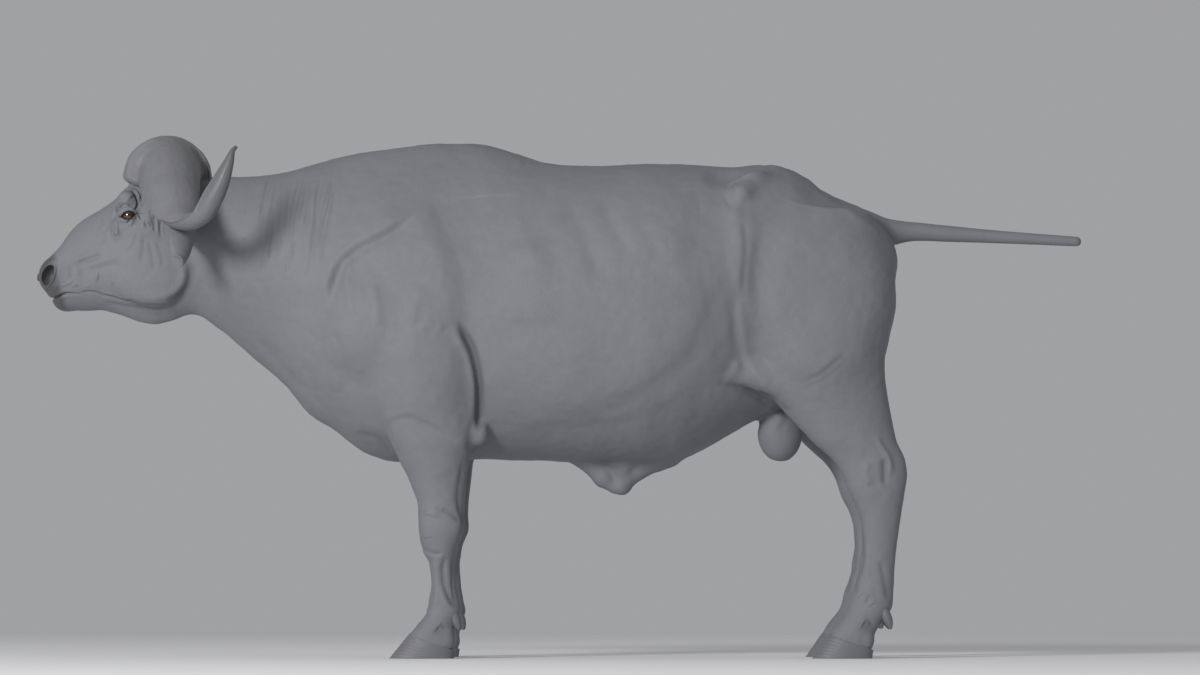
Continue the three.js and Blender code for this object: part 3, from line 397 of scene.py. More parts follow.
# Claws: shares of the width on the outer and the inner side, and counts of rings and sides
CLAW_OUTER, CLAW_INNER = 0.72, 0.28
CLAW_LEVELS, CLAW_SIDES = 40, 72
DEWCLAW_LEVELS, DEWCLAW_SIDES = 34, 40

# Stage, in metres
FLOOR_RADIUS = 12
SKY_COLOUR = (0.355, 0.357, 0.365, 1)
LAMP_PLACE, LAMP_AIM = (-7.3, -12.6, 5.2), (0, 0, 0.9)
LAMP_SIZE, LAMP_POWER = 3.6, 1750
CAMERA_PLACE, CAMERA_TILT = (0.125, -13.0, 0.160), 3.6815
SENSOR_WIDTH, FOCAL_LENGTH, PICTURE_WIDTH = 36, 4173, 1200  # the last two in picture elements


# Shapes as fields of distance

def curve(rows, column, samples=400):
    """Smooth values of one column between the rows of a table, without overshoot."""
    rows = sorted(rows)
    at = np.array([row[0] for row in rows], float)
    value = np.array([row[column] for row in rows], float)
    step, gap = np.diff(value) / np.diff(at), np.diff(at)
    slope = np.zeros(len(at))
    slope[0], slope[-1] = step[0], step[-1]
    for i in range(1, len(at) - 1):
        if step[i - 1] * step[i] > 0:
            before, after = 2 * gap[i] + gap[i - 1], gap[i] + 2 * gap[i - 1]
            slope[i] = (before + after) / (before / step[i - 1] + after / step[i])
    place = np.linspace(at[0], at[-1], samples)
    i = np.clip(np.searchsorted(at, place) - 1, 0, len(at) - 2)
    s = (place - at[i]) / gap[i]
    keep = 2 * s**3 - 3 * s**2 + 1
    return place, (
        keep * value[i]
        + (s**3 - 2 * s**2 + s) * gap[i] * slope[i]
        + (1 - keep) * value[i + 1]
        + (s**3 - s**2) * gap[i] * slope[i + 1]
    )


def table(rows):
    curves = [curve(rows, column) for column in range(1, len(rows[0]))]
    return lambda t: [np.interp(t, place, value) for place, value in curves]


trunk_at, head_at, foreleg_at, hindleg_at = map(table, (TRUNK, HEAD, FORELEG, HINDLEG))
ear_at = table(EAR_ROWS)
tail_at = table([(x, z, radius) for x, _, z, radius in TAIL])


def join(a, b, width):
    h = np.maximum(width - np.abs(a - b), 0) / width
    return np.minimum(a, b) - h * h * width * 0.25


def meet(a, b, width):
    return -join(-a, -b, width)


def fade(value, low, high):
    t = np.clip((value - low) / (high - low), 0, 1)
    return t * t * (3 - 2 * t)


def oval(a, b, power, ra, rb):
    u = np.abs(a) / ra + 1e-6
    v = np.abs(b) / rb + 1e-6
    pu, pv = u ** (power - 1), v ** (power - 1)
    total = pu * u + pv * v
    fall = total ** (1 / power - 1)
    return (fall * total - 1) / np.sqrt((fall * pu / ra) ** 2 + (fall * pv / rb) ** 2)


def along_x(at, low, high, soft):
    def field(x, y, z):
        top, bottom, half, share, above, below = at(x)
        middle = bottom + share * (top - bottom)
        upper = z > middle
        d = oval(z - middle, y, np.where(upper, above, below), np.where(upper, top - middle, middle - bottom), half)
        return meet(meet(d, low - x, soft), x - high, soft)

    return field


def along_z(at, low, high):
    def field(x, y, z):
        front, back, inner, outer, power = at(z)
        d = oval(x - (front + back) / 2, y - (inner + outer) / 2, power, (back - front) / 2, (outer - inner) / 2)
        return meet(meet(d, low - z, 10), z - high, 10)

    return field


def turned(a, b, degrees):
    c, s = math.cos(math.radians(degrees)), math.sin(math.radians(degrees))
    return c * a + s * b, c * b - s * a


def mass(centre, radii, tilt=0, turn=0):
    def field(x, y, z):
        px, py, pz = x - centre[0], y - centre[1], z - centre[2]
        px, pz = turned(px, pz, tilt)
        px, py = turned(px, py, turn)
        near = np.sqrt((px / radii[0]) ** 2 + (py / radii[1]) ** 2 + (pz / radii[2]) ** 2) + 1e-9
        steep = np.sqrt((px / radii[0] ** 2) ** 2 + (py / radii[1] ** 2) ** 2 + (pz / radii[2] ** 2) ** 2) + 1e-12
        return near * (near - 1) / steep

    return field


def chain(points, width):
    def field(x, y, z):
        best = None
        for start, end in zip(points, points[1:]):
            start, end = np.array(start, float), np.array(end, float)
            d = end[:3] - start[:3]
            q = x - start[0], y - start[1], z - start[2]
            t = np.clip((q[0] * d[0] + q[1] * d[1] + q[2] * d[2]) / (d @ d), 0, 1)
            away = np.sqrt(sum((q[i] - t * d[i]) ** 2 for i in range(3)))
            piece = away - (start[3] + t * (end[3] - start[3]))
            best = piece if best is None else join(best, piece, width)
        return best

    return field


def tail_field(x, y, z):
    level, radius = tail_at(x)
    beyond = np.maximum(x - TAIL[-1][0], 0) + np.maximum(TAIL[0][0] - x, 0)
    return np.sqrt(y**2 + (z - level) ** 2 + beyond**2) - radius


def relief(x, y, z):
    height = np.zeros_like(x)
    for centre, radii, tilt, rise, soft in RELIEFS:
        px, pz = turned(x - centre[0], z - centre[1], tilt)
        r = np.hypot(px / radii[0], pz / radii[1])
        height += rise * (1 - fade(r, 1 - soft, 1 + soft * 0.4))
    return height * fade(y, 40, 160)


def ear_frame():
    root, tip = np.array(EAR_ROOT, float), np.array(EAR_TIP, float)
    along = (tip - root) / np.linalg.norm(tip - root)
    cupped = np.array((-0.75, 0.22, -0.72))
    cupped -= (cupped @ along) * along
    cupped /= np.linalg.norm(cupped)
    return root, tip, along, cupped, np.cross(along, cupped)


def ear_field(x, y, z):
    """A curled leaf: in each section a wall of even thickness follows an arc."""
    root, tip, along, cupped, across = ear_frame()
    length = np.linalg.norm(tip - root)
    q = np.stack([x - root[0], y - root[1], z - root[2]])
    raw = (along @ q) / length
    t = np.clip(raw, 0, 1)
    half, opening = ear_at(t)
    q = q - along[:, None] * t * length
    q[2] -= 26 * np.sin(np.pi * t)
    a, c = np.abs(across @ q), cupped @ q
    spread = np.radians(opening)
    radius = half / np.sin(np.minimum(spread, np.pi / 2))
    c = c - radius * np.cos(np.minimum(spread, np.pi / 2))
    wall = np.minimum(EAR_WALL, half * 0.8) / 2
    middle = radius - wall
    inside = np.arctan2(a, -c) <= spread
    to_arc = np.abs(np.hypot(a, c) - middle)
    to_end = np.hypot(a - middle * np.sin(spread), c + middle * np.cos(spread))
    d = np.where(inside, to_arc, to_end) - wall
    return np.maximum(d, np.abs(raw - t) * length - wall)


def hide_field(x, side, z):
    """Distance to the whole hide, negative inside; both sides are folded onto y > 0."""
    y = np.abs(side)
    d = along_x(trunk_at, -1220, 1026, 60)(x, y, z)

    def add(where, shape, width, carve=False):
        i = np.nonzero(where)[0]
        if len(i):
            part = shape(x[i], y[i], z[i])
            d[i] = meet(d[i], -part, width) if carve else join(d[i], part, width)

    fore, hind = (x > -760) & (x < -140), (x > 460) & (x < 1180)
    add(fore & (z < 1220), along_z(foreleg_at, -40, 1110), 46)
    add(hind & (z < 1480), along_z(hindleg_at, -40, 1370), 50)
    add(hind & (z > 1300), chain(HIP_CREST, 20), 36)
    for centre, radii, tilt, width in BODY_MASSES:
        reach = max(radii) + 100
        add((np.abs(x - centre[0]) < reach) & (np.abs(z - centre[2]) < reach), mass(centre, radii, tilt), width)
    d -= relief(x, y, z)
    add(x > 780, tail_field, 24)
    add((np.abs(x - 190) < 260) & (z < 760), chain(SHEATH, 14), 40)
    front = x < -1000
    head = along_x(head_at, -1633, -1100, 6)

    def face(x, y, z):
        f = head(x, y, z)
        for centre, radii, tilt, width in HEAD_MASSES:
            f = join(f, mass(centre, radii, tilt)(x, y, z), width)
        return join(f, mass(EYE, (EYE_RADIUS + 6,) * 3)(x, y, z), 12)

    add(front, face, 34)
    add(front & (x < -1040) & (x > -1320) & (y > 60), ear_field, 16)
    near_eye = front & (np.abs(x - EYE[0]) < 90) & (np.abs(z - EYE[2]) < 90)
    add(near_eye, aperture_field, 3, carve=True)
    centre, radii, turn, tilt = NOSTRIL
    add(front & (x < -1500), mass(centre, radii, tilt, turn), 7, carve=True)
    for (toe_top, heel_top, _, _), low, high in zip(HOOVES, (-560, 720), (-240, 1060)):
        feet = (z < 200) & (x > low) & (x < high)
        for centre, radii, tilt, width in HEEL_BULBS:
            if low < centre[0] < high:
                add(feet, mass(centre, radii, tilt), width)
        rise = (heel_top[1] - toe_top[1]) / (heel_top[0] - toe_top[0])
        i = np.nonzero(feet)[0]
        under = (toe_top[1] - 5 + rise * (x[i] - toe_top[0]) - z[i]) / math.hypot(1, rise)
        d[i] = meet(d[i], under, 3)
    return d


def aperture_field(x, y, z):
    """The almond opening between the lids, cut in as far as the eyeball's front."""
    px, pz = turned(x - EYE[0], z - EYE[2], APERTURE[2])
    along = np.clip(px / APERTURE[0], -1, 1)
    half = APERTURE[1] * (1 - np.abs(along) ** 2.2) * np.where(pz > 0, 0.95, 1.05)
    d = (np.abs(pz) - half) * 0.75
    return np.maximum(d, EYE[1] + 9 - y)


# Meshes from fields

def sampled_surface(field, low, high, cell):
    """Closed surface of a field as quads, sampled finely only near the surface."""
    low, high = np.array(low, float), np.array(high, float)
    step = 4
    count = np.ceil((high - low) / cell).astype(int) + 1
    blocks = (count + step - 1) // step + 1
    axes = [low[i] + cell * step * np.arange(blocks[i]) for i in range(3)]
    coarse = field(*[a.ravel() for a in np.meshgrid(*axes, indexing="ij")]).reshape(blocks).astype(np.float32)
    near = np.abs(coarse) < 2.6 * cell * step

    def fine(blocky):
        for axis in range(3):
            blocky = np.repeat(blocky, step, axis)
        return blocky[: count[0], : count[1], : count[2]]

    hot = near.copy()
    for axis in range(3):
        hot |= np.roll(hot, -1, axis)
    value, hot = fine(coarse).copy(), fine(hot)
    index = np.argwhere(hot)
    place = low + index * cell
    value[hot] = field(place[:, 0], place[:, 1], place[:, 2])
    inside = value < 0
    filled = np.zeros(tuple(count - 1), np.int8)
    corners = [(i, j, k) for i in (0, 1) for j in (0, 1) for k in (0, 1)]
    for i, j, k in corners:
        filled += inside[i : count[0] - 1 + i, j : count[1] - 1 + j, k : count[2] - 1 + k]
    crossed = (filled > 0) & (filled < 8)
    cells = np.argwhere(crossed)
    number = np.full(crossed.shape, -1, np.int64)
    number[crossed] = np.arange(len(cells))
    total, crossings = np.zeros((len(cells), 3)), np.zeros(len(cells))
    for corner in corners:
        for axis in range(3):
            if corner[axis]:
                continue
            other = list(corner)
            other[axis] = 1
            va = value[tuple((cells + corner).T)].astype(float)
            vb = value[tuple((cells + other).T)].astype(float)
            cut = (va < 0) != (vb < 0)
            t = np.where(cut, va / np.where(cut, va - vb, 1), 0)
            total += (np.array(corner, float) + t[:, None] * np.eye(3)[axis]) * cut[:, None]
            crossings += cut
    points = low + (cells + total / crossings[:, None]) * cell
    faces = []
    for axis in range(3):
        u, v = [i for i in range(3) if i != axis]
        here, there = [slice(None)] * 3, [slice(None)] * 3
        here[axis], there[axis] = slice(0, -1), slice(1, None)
        edge = np.argwhere(inside[tuple(here)] != inside[tuple(there)])
        edge = edge[(edge[:, u] > 0) & (edge[:, v] > 0)]
        edge = edge[(edge[:, u] < number.shape[u]) & (edge[:, v] < number.shape[v])]
        around = []
        for du, dv in ((1, 1), (0, 1), (0, 0), (1, 0)):
            at = edge.copy()
            at[:, u] -= du
            at[:, v] -= dv
            around.append(number[tuple(at.T)])
        quad = np.stack(around, 1)
        outward = inside[tuple(edge.T)] != (axis == 1)
        quad[~outward] = quad[~outward][:, ::-1]
        faces.append(quad)
    return points, np.concatenate(faces)


def settle(field, points, rounds=2, reach=6):
    """Moves points onto the field's surface along its slope."""
    for _ in range(rounds):
        x, y, z = points.T
        slope = np.stack(
            [
                field(x + 0.5, y, z) - field(x - 0.5, y, z),
                field(x, y + 0.5, z) - field(x, y - 0.5, z),
                field(x, y, z + 0.5) - field(x, y, z - 0.5),
            ],
            1,
        )
        steep = np.maximum((slope * slope).sum(1), 0.05)
        points = points - np.clip(field(x, y, z) / steep, -reach, reach)[:, None] * slope
    return points


def mesh_from(name, points, faces):
    mesh = bpy.data.meshes.new(name)
    mesh.vertices.add(len(points))
    mesh.vertices.foreach_set("co", (np.asarray(points) * MM).astype(np.float32).ravel())
    size = faces.shape[1]
    mesh.loops.add(faces.size)
    mesh.loops.foreach_set("vertex_index", faces.astype(np.int32).ravel())
    mesh.polygons.add(len(faces))
    mesh.polygons.foreach_set("loop_start", np.arange(0, faces.size, size, dtype=np.int32))
    mesh.update(calc_edges=True)
    mesh.validate()
    return mesh


def points_of(mesh):
    flat = np.empty(len(mesh.vertices) * 3, np.float32)
    mesh.vertices.foreach_get("co", flat)
    return flat.reshape(-1, 3).astype(float) / MM


def normals_of(mesh):
    flat = np.empty(len(mesh.vertices) * 3, np.float32)
    mesh.vertices.foreach_get("normal", flat)
    return flat.reshape(-1, 3).astype(float)


def put_points(mesh, points):
    mesh.vertices.foreach_set("co", (points * MM).astype(np.float32).ravel())
    mesh.update()


def refine(mesh, chosen):
    """Divides the faces whose corners are all chosen into quarters."""
    before = len(mesh.vertices)
    grid = bmesh.new()
    grid.from_mesh(mesh)
    grid.verts.ensure_lookup_table()
    picked = chosen.tolist()
    edges = [e for e in grid.edges if picked[e.verts[0].index] and picked[e.verts[1].index]]
    bmesh.ops.subdivide_edges(grid, edges=edges, cuts=1, use_grid_fill=True)
    grid.to_mesh(mesh)
    grid.free()
    mesh.update()
    return before


def piece(name, mesh, material, slot, nodes):
    """Links a mesh as a piece that stands for CAD nodes."""
    mesh.polygons.foreach_set("use_smooth", np.ones(len(mesh.polygons), bool))
    shown = bpy.data.objects.new(name, mesh)
    bpy.context.scene.collection.objects.link(shown)
    shown.data.materials.append(material)
    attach(shown, "root")
    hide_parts(*nodes)
    return shown


# Lines drawn into the hide

def smooth_path(points, steps=6):
    p = np.array([points[0], *points, points[-1]], float)
    rows = []
    for i in range(1, len(p) - 2):
        for s in np.arange(steps) / steps:
            rows.append(
                0.5
                * (
                    2 * p[i]
                    + (p[i + 1] - p[i - 1]) * s
                    + (2 * p[i - 1] - 5 * p[i] + 4 * p[i + 1] - p[i + 2]) * s**2
                    + (3 * p[i] - p[i - 1] - 3 * p[i + 1] + p[i + 2]) * s**3
                )
            )
    rows.append(p[-1])
    return np.array(rows)


def beside(flat, path):
    """Distance from a path, the side it lies on, and the share of the path passed, for points in its plane."""
    best = np.full(len(flat), 1e9)
    side, share = np.zeros(len(flat)), np.zeros(len(flat))
    for i in range(len(path) - 1):
        d = path[i + 1] - path[i]
        q = flat - path[i]
        t = np.clip(q @ d / max(d @ d, 1e-9), 0, 1)
        away = np.hypot(*(q - t[:, None] * d).T)
        nearer = away < best
        best[nearer] = away[nearer]
        side[nearer] = (d[0] * q[:, 1] - d[1] * q[:, 0])[nearer]
        share[nearer] = ((i + t) / (len(path) - 1))[nearer]
    return best, np.where(side < 0, -best, best), share


def draw_lines(points, weight, lines):
    """Heights of creases, ridges and steps for each point, by its place in the side view, and the depth of narrow
    grooves, by which painted shade darkens them.
    """
    flat = points[:, [0, 2]]
    height, crease = np.zeros(len(points)), np.zeros(len(points))
    for kind, width, rise, path in lines:
        path = smooth_path(path)
        left, right = width if isinstance(width, tuple) else (width, width)
        reach = max(left, right) * (9 if kind == "step" else 3)
        low, high = path.min(0) - reach, path.max(0) + reach
        i = np.nonzero(((flat > low) & (flat < high)).all(1) & (weight > 0))[0]
        if not len(i):
            continue
        away, signed, share = beside(flat[i], path)
        ends = fade(share, -0.001, 0.22) * fade(1 - share, -0.001, 0.22)
        if kind != "step":
            lift = rise * np.exp(-((away / np.where(signed > 0, left, right)) ** 2))
            lift *= -1 if kind == "groove" else 1
        else:
            over = signed * np.sign(rise)
            ramp = 0.5 + 0.5 * np.tanh(over / (0.45 * width))
            lift = abs(rise) * ramp * np.exp(-np.maximum(over, 0) / (3.2 * width))
            lift -= 0.4 * abs(rise) * np.exp(-(((over + 0.7 * width) / (0.7 * width)) ** 2))
            lift *= fade(reach - away, 0, reach * 0.4)
        height[i] += lift * ends * weight[i]
        # Narrow grooves also get painted shade: their depth darkens the hide's colour.
        if max(left, right) < 16:
            crease[i] += np.maximum(-lift, 0) * ends * weight[i]
    return height, crease


def neck_wrinkles():
    """Upright folds on the side of the neck, with finer ones between the horn and the crest."""
    rng = np.random.default_rng(7)
    lines = []
    for i in range(17):
        x = -905 + 13.5 * i + rng.uniform(-4, 4)
        top, bottom = 1500 + rng.uniform(-30, 12), 1190 + rng.uniform(-20, 120)
        lean = -0.10 + rng.uniform(-0.02, 0.02)
        path = [(x + lean * (1500 - z) + 4 * math.sin(z / 47 + i), z) for z in np.linspace(top, bottom, 7)]
        lines.append(("groove", rng.uniform(4, 6), rng.uniform(0.9, 2.4), path))
    for i in range(22):
        x, z = rng.uniform(-1010, -720), rng.uniform(1220, 1430)
        long = rng.uniform(50, 110)
        path = [(x - 0.12 * s * long + 2 * math.sin(s * 5 + i), z - s * long) for s in np.linspace(0, 1, 5)]
        lines.append(("groove", rng.uniform(3, 4.5), rng.uniform(0.6, 1.3), path))
    return lines


def lumps(points, scale, seed):
    """Smooth unevenness between -1 and 1, from a lattice of seeded values."""
    rng = np.random.default_rng(seed)
    lattice = rng.uniform(-1, 1, (32, 32, 32))
    place = points / scale
    base = np.floor(place).astype(int)
    s = place - base
    s = s * s * (3 - 2 * s)
    total = np.zeros(len(points))
    for i in (0, 1):
        for j in (0, 1):
            for k in (0, 1):
                w = np.abs(1 - i - s[:, 0]) * np.abs(1 - j - s[:, 1]) * np.abs(1 - k - s[:, 2])
                total += w * lattice[(base[:, 0] + i) % 32, (base[:, 1] + j) % 32, (base[:, 2] + k) % 32]
    return total


# Shader groups and materials

def shader_group(name, inputs, outputs, wire):
    group = bpy.data.node_groups.new(name, "ShaderNodeTree")
    for label, kind, value in inputs:
        made = group.interface.new_socket(name=label, in_out="INPUT", socket_type=kind)
        made.default_value = value
    for label, kind in outputs:
        group.interface.new_socket(name=label, in_out="OUTPUT", socket_type=kind)
    wire(group.nodes, group.links, group.nodes.new("NodeGroupInput"), group.nodes.new("NodeGroupOutput"))
    return group


def node(nodes, kind, **settings):
    """Adds a node; settings name its sockets or its own properties."""
    made = nodes.new("ShaderNode" + kind)
    for key, value in settings.items():
        if hasattr(made, key) and key not in made.inputs:
            setattr(made, key, value)
        else:
            made.inputs[key.replace("_", " ")].default_value = value
    return made


def mottling():
    """A mask of broad and small patches, paler or dustier than the rest."""

    def wire(nodes, links, entry, out):
        where = node(nodes, "TexCoord")
        broad = node(nodes, "TexNoise", Scale=2.6, Detail=5.0, Roughness=0.6)
        small = node(nodes, "TexNoise", Scale=38.0, Detail=4.0, Roughness=0.65)
        for texture in (broad, small):
            links.new(where.outputs["Object"], texture.inputs["Vector"])
        mixed = node(nodes, "Math", operation="MULTIPLY_ADD")
        mixed.inputs[1].default_value = 0.35
        links.new(small.outputs["Fac"], mixed.inputs[0])
        links.new(broad.outputs["Fac"], mixed.inputs[2])
        spread = node(nodes, "MapRange", From_Min=0.45, From_Max=0.95)
        links.new(mixed.outputs[0], spread.inputs["Value"])
        strength = node(nodes, "Math", operation="MULTIPLY")
        links.new(spread.outputs[0], strength.inputs[0])
        links.new(entry.outputs["Strength"], strength.inputs[1])
        links.new(strength.outputs[0], out.inputs["Mask"])

    return shader_group("Mottling", [("Strength", "NodeSocketFloat", 1.0)], [("Mask", "NodeSocketFloat")], wire)


def fine_grain():
    """Height of fine leathery cells and of short streaks that lie back along the body."""

    def wire(nodes, links, entry, out):
        where = node(nodes, "TexCoord")
        cells = node(nodes, "TexVoronoi", feature="DISTANCE_TO_EDGE")
        links.new(where.outputs["Object"], cells.inputs["Vector"])
        links.new(entry.outputs["Cells"], cells.inputs["Scale"])
        rounded = node(nodes, "MapRange", From_Min=0.0, From_Max=0.22)
        links.new(cells.outputs["Distance"], rounded.inputs["Value"])
        lie = node(nodes, "Mapping")
        lie.inputs["Scale"].default_value = (60, 520, 340)
        links.new(where.outputs["Object"], lie.inputs["Vector"])
        hairs = node(nodes, "TexNoise", Scale=1.0, Detail=3.0, Roughness=0.7)
        links.new(lie.outputs[0], hairs.inputs["Vector"])
        coat = node(nodes, "Math", operation="MULTIPLY")
        links.new(hairs.outputs["Fac"], coat.inputs[0])
        links.new(entry.outputs["Hair"], coat.inputs[1])
        total = node(nodes, "Math", operation="ADD")
        links.new(rounded.outputs[0], total.inputs[0])
        links.new(coat.outputs[0], total.inputs[1])
        links.new(total.outputs[0], out.inputs["Height"])

    inputs = [("Cells", "NodeSocketFloat", 220.0), ("Hair", "NodeSocketFloat", 1.0)]
    return shader_group("Fine grain", inputs, [("Height", "NodeSocketFloat")], wire)


def fibres():
    """Height of long fibres, drawn out along the axis with the smallest stretch."""

    def wire(nodes, links, entry, out):
        where = node(nodes, "TexCoord")
        drawn = node(nodes, "Mapping")
        links.new(where.outputs["Object"], drawn.inputs["Vector"])
        links.new(entry.outputs["Stretch"], drawn.inputs["Scale"])
        strands = node(nodes, "TexNoise", Scale=1.0)
        links.new(drawn.outputs[0], strands.inputs["Vector"])
        links.new(entry.outputs["Detail"], strands.inputs["Detail"])
        links.new(entry.outputs["Roughness"], strands.inputs["Roughness"])
        links.new(strands.outputs["Fac"], out.inputs["Height"])

    inputs = [
        ("Stretch", "NodeSocketVector", (100.0, 100.0, 100.0)),
        ("Detail", "NodeSocketFloat", 4.0),
        ("Roughness", "NodeSocketFloat", 0.6),
    ]
    return shader_group("Fibres", inputs, [("Height", "NodeSocketFloat")], wire)


def start_material(name, **settings):
    material = bpy.data.materials.new(name)
    material.use_nodes = True
    nodes, links = material.node_tree.nodes, material.node_tree.links
    shader = nodes["Principled BSDF"]
    for key, value in settings.items():
        shader.inputs[key.replace("_", " ")].default_value = value
    return material, nodes, links, shader


def shared(name, make):
    return bpy.data.node_groups.get(name) or make()


def placed(nodes, group, **values):
    made = nodes.new("ShaderNodeGroup")
    made.node_tree = group
    for key, value in values.items():
        made.inputs[key].default_value = value
    return made


def mix_colours(nodes, links, factor, first, second):
    mixed = nodes.new("ShaderNodeMix")
    mixed.data_type = "RGBA"
    for socket, value in ((mixed.inputs[6], first), (mixed.inputs[7], second)):
        if isinstance(value, bpy.types.NodeSocket):
            links.new(value, socket)
        else:
            socket.default_value = (*value[:3], 1)
    links.new(factor, mixed.inputs[0])
    return mixed.outputs[2]


def add_roughness(nodes, links, shader, value, **span):
    """Gloss that follows a value over the surface."""
    rough = node(nodes, "MapRange", **span)
    links.new(value, rough.inputs["Value"])
    links.new(rough.outputs[0], shader.inputs["Roughness"])


def add_bump(nodes, links, shader, height, strength, distance):
    bump = node(nodes, "Bump", Strength=strength, Distance=distance)
    links.new(height, bump.inputs["Height"])
    links.new(bump.outputs[0], shader.inputs["Normal"])


def hide_material(finish):
    material, nodes, links, shader = start_material("Hide", Specular_IOR_Level=0.35)
    patches = placed(nodes, shared("Mottling", mottling), Strength=1.0)
    colour = mix_colours(nodes, links, patches.outputs[0], finish.hide_colour, finish.dust_colour)
    # Painted shade: the colour is darkened towards the crease shade colour by the "folds" mask, in narrow creases
    # and the mouth slit.
    folds = node(nodes, "Attribute", attribute_name="folds")
    colour = mix_colours(nodes, links, folds.outputs["Fac"], colour, finish.crease_shade_colour)
    bare = node(nodes, "Attribute", attribute_name="bare")
    colour = mix_colours(nodes, links, bare.outputs["Fac"], colour, finish.muzzle_colour)
    links.new(colour, shader.inputs["Base Color"])
    add_roughness(nodes, links, shader, bare.outputs["Fac"], To_Min=finish.hide_roughness, To_Max=0.34)
    grain = placed(nodes, shared("Fine grain", fine_grain), Cells=230.0, Hair=1.3)
    add_bump(nodes, links, shader, grain.outputs[0], 0.32, 0.0016)
    return material


def horn_material(finish):
    material, nodes, links, shader = start_material("Horn", Specular_IOR_Level=0.4)
    patches = placed(nodes, shared("Mottling", mottling), Strength=1.0)
    colour = mix_colours(nodes, links, patches.outputs[0], finish.horn_colour, finish.boss_colour)
    worn = node(nodes, "Attribute", attribute_name="tip")
    colour = mix_colours(nodes, links, worn.outputs["Fac"], colour, finish.tip_colour)
    links.new(colour, shader.inputs["Base Color"])
    add_roughness(nodes, links, shader, worn.outputs["Fac"], To_Min=0.56, To_Max=0.36)
    strands = placed(nodes, shared("Fibres", fibres), Stretch=(150, 24, 60), Detail=6.0, Roughness=0.62)
    add_bump(nodes, links, shader, strands.outputs[0], 0.4, 0.0035)
    return material


def hoof_material(finish):
    material, nodes, links, shader = start_material("Hoof", Specular_IOR_Level=0.4)
    patches = placed(nodes, shared("Mottling", mottling), Strength=1.0)
    colour = mix_colours(nodes, links, patches.outputs[0], finish.hoof_colour, finish.horn_colour)
    links.new(colour, shader.inputs["Base Color"])
    strands = placed(nodes, shared("Fibres", fibres), Stretch=(420, 420, 40), Detail=4.0, Roughness=0.6)
    add_roughness(nodes, links, shader, strands.outputs[0], From_Min=0.3, From_Max=0.7, To_Min=0.42, To_Max=0.6)
    add_bump(nodes, links, shader, strands.outputs[0], 0.3, 0.001)
    return material


def eye_material(finish):
    material, nodes, links, shader = start_material(
        "Eye", Roughness=0.12, Coat_Weight=1.0, Coat_Roughness=0.03, Specular_IOR_Level=0.5
    )
    pupil = node(nodes, "Attribute", attribute_name="pupil")
    iris = node(nodes, "TexNoise", Scale=260.0, Detail=3.0)
    where = node(nodes, "TexCoord")
    links.new(where.outputs["Object"], iris.inputs["Vector"])
    colour = mix_colours(nodes, links, iris.outputs["Fac"], finish.eye_colour, finish.iris_colour)
    colour = mix_colours(nodes, links, pupil.outputs["Fac"], colour, (0.004, 0.004, 0.005))
    links.new(colour, shader.inputs["Base Color"])
    return material


# Properties

class HideSizes(bpy.types.PropertyGroup):
    """Sizes of the hide and its lines."""

    grain: bpy.props.FloatProperty(
        name="Mesh grain",
        description="Size of the hide's faces on the body",
        default=0.0052,
        min=0.003,
        unit="LENGTH",
    )
    line_depth: bpy.props.FloatProperty(
        name="Line depth",
        description="How deep the folds and muscle lines are, as a share",
        default=1.0,
        subtype="FACTOR",
    )
    unevenness: bpy.props.FloatProperty(
        name="Unevenness", description="Height of the soft lumps of the flesh", default=0.0014, unit="LENGTH"
    )


class HornSizes(bpy.types.PropertyGroup):
    """Sizes of the horns and hooves."""

    rings: bpy.props.IntProperty(name="Horn rings", description="Rings along one horn", default=240, min=24)
    sides: bpy.props.IntProperty(name="Horn sides", description="Faces round one horn", default=120, min=16)
    furrow: bpy.props.FloatProperty(
        name="Boss furrows", description="Depth of the furrows in the boss", default=0.0022, unit="LENGTH"
    )
    hoof_ring: bpy.props.FloatProperty(
        name="Hoof rings", description="Height of the growth rings of a hoof", default=0.0006, unit="LENGTH"
    )


def colour_property(name, description, value):
    return bpy.props.FloatVectorProperty(
        name=name, description=description, default=value, size=3, min=0, max=1, subtype="COLOR"
    )


class Finish(bpy.types.PropertyGroup):
    """Colours and gloss of the animal."""

    hide_colour: colour_property("Hide", "Slate-grey hide", (0.158, 0.161, 0.176))
    dust_colour: colour_property("Dusty hide", "Lighter, dusty patches of the hide", (0.190, 0.192, 0.205))
    # Painted shade: a darker hide colour painted into narrow creases and the mouth slit, where shade falls.
    crease_shade_colour: colour_property("Folds", "Hide in the bottom of folds", (0.085, 0.086, 0.094))
    muzzle_colour: colour_property("Muzzle", "Bare moist skin of the muzzle and lids", (0.075, 0.075, 0.08))
    horn_colour: colour_property("Horn", "Grey horn", (0.150, 0.151, 0.160))
    boss_colour: colour_property("Boss", "Paler, weathered horn", (0.204, 0.205, 0.214))
    tip_colour: colour_property("Horn points", "Polished dark points", (0.085, 0.086, 0.092))
    hoof_colour: colour_property("Hoof", "Dark grey hoof", (0.138, 0.139, 0.149))
    eye_colour: colour_property("Eye", "Dark brown of the eye", (0.020, 0.012, 0.008))
    iris_colour: colour_property("Iris", "Lighter fibres of the iris", (0.045, 0.026, 0.015))
    floor_colour: colour_property("Floor", "Plain pale floor", (0.86, 0.86, 0.87))
    hide_roughness: bpy.props.FloatProperty(
        name="Hide roughness", description="How matte the hide is", default=0.58, subtype="FACTOR"
    )


# Operators

SIDES = ("left", "right")


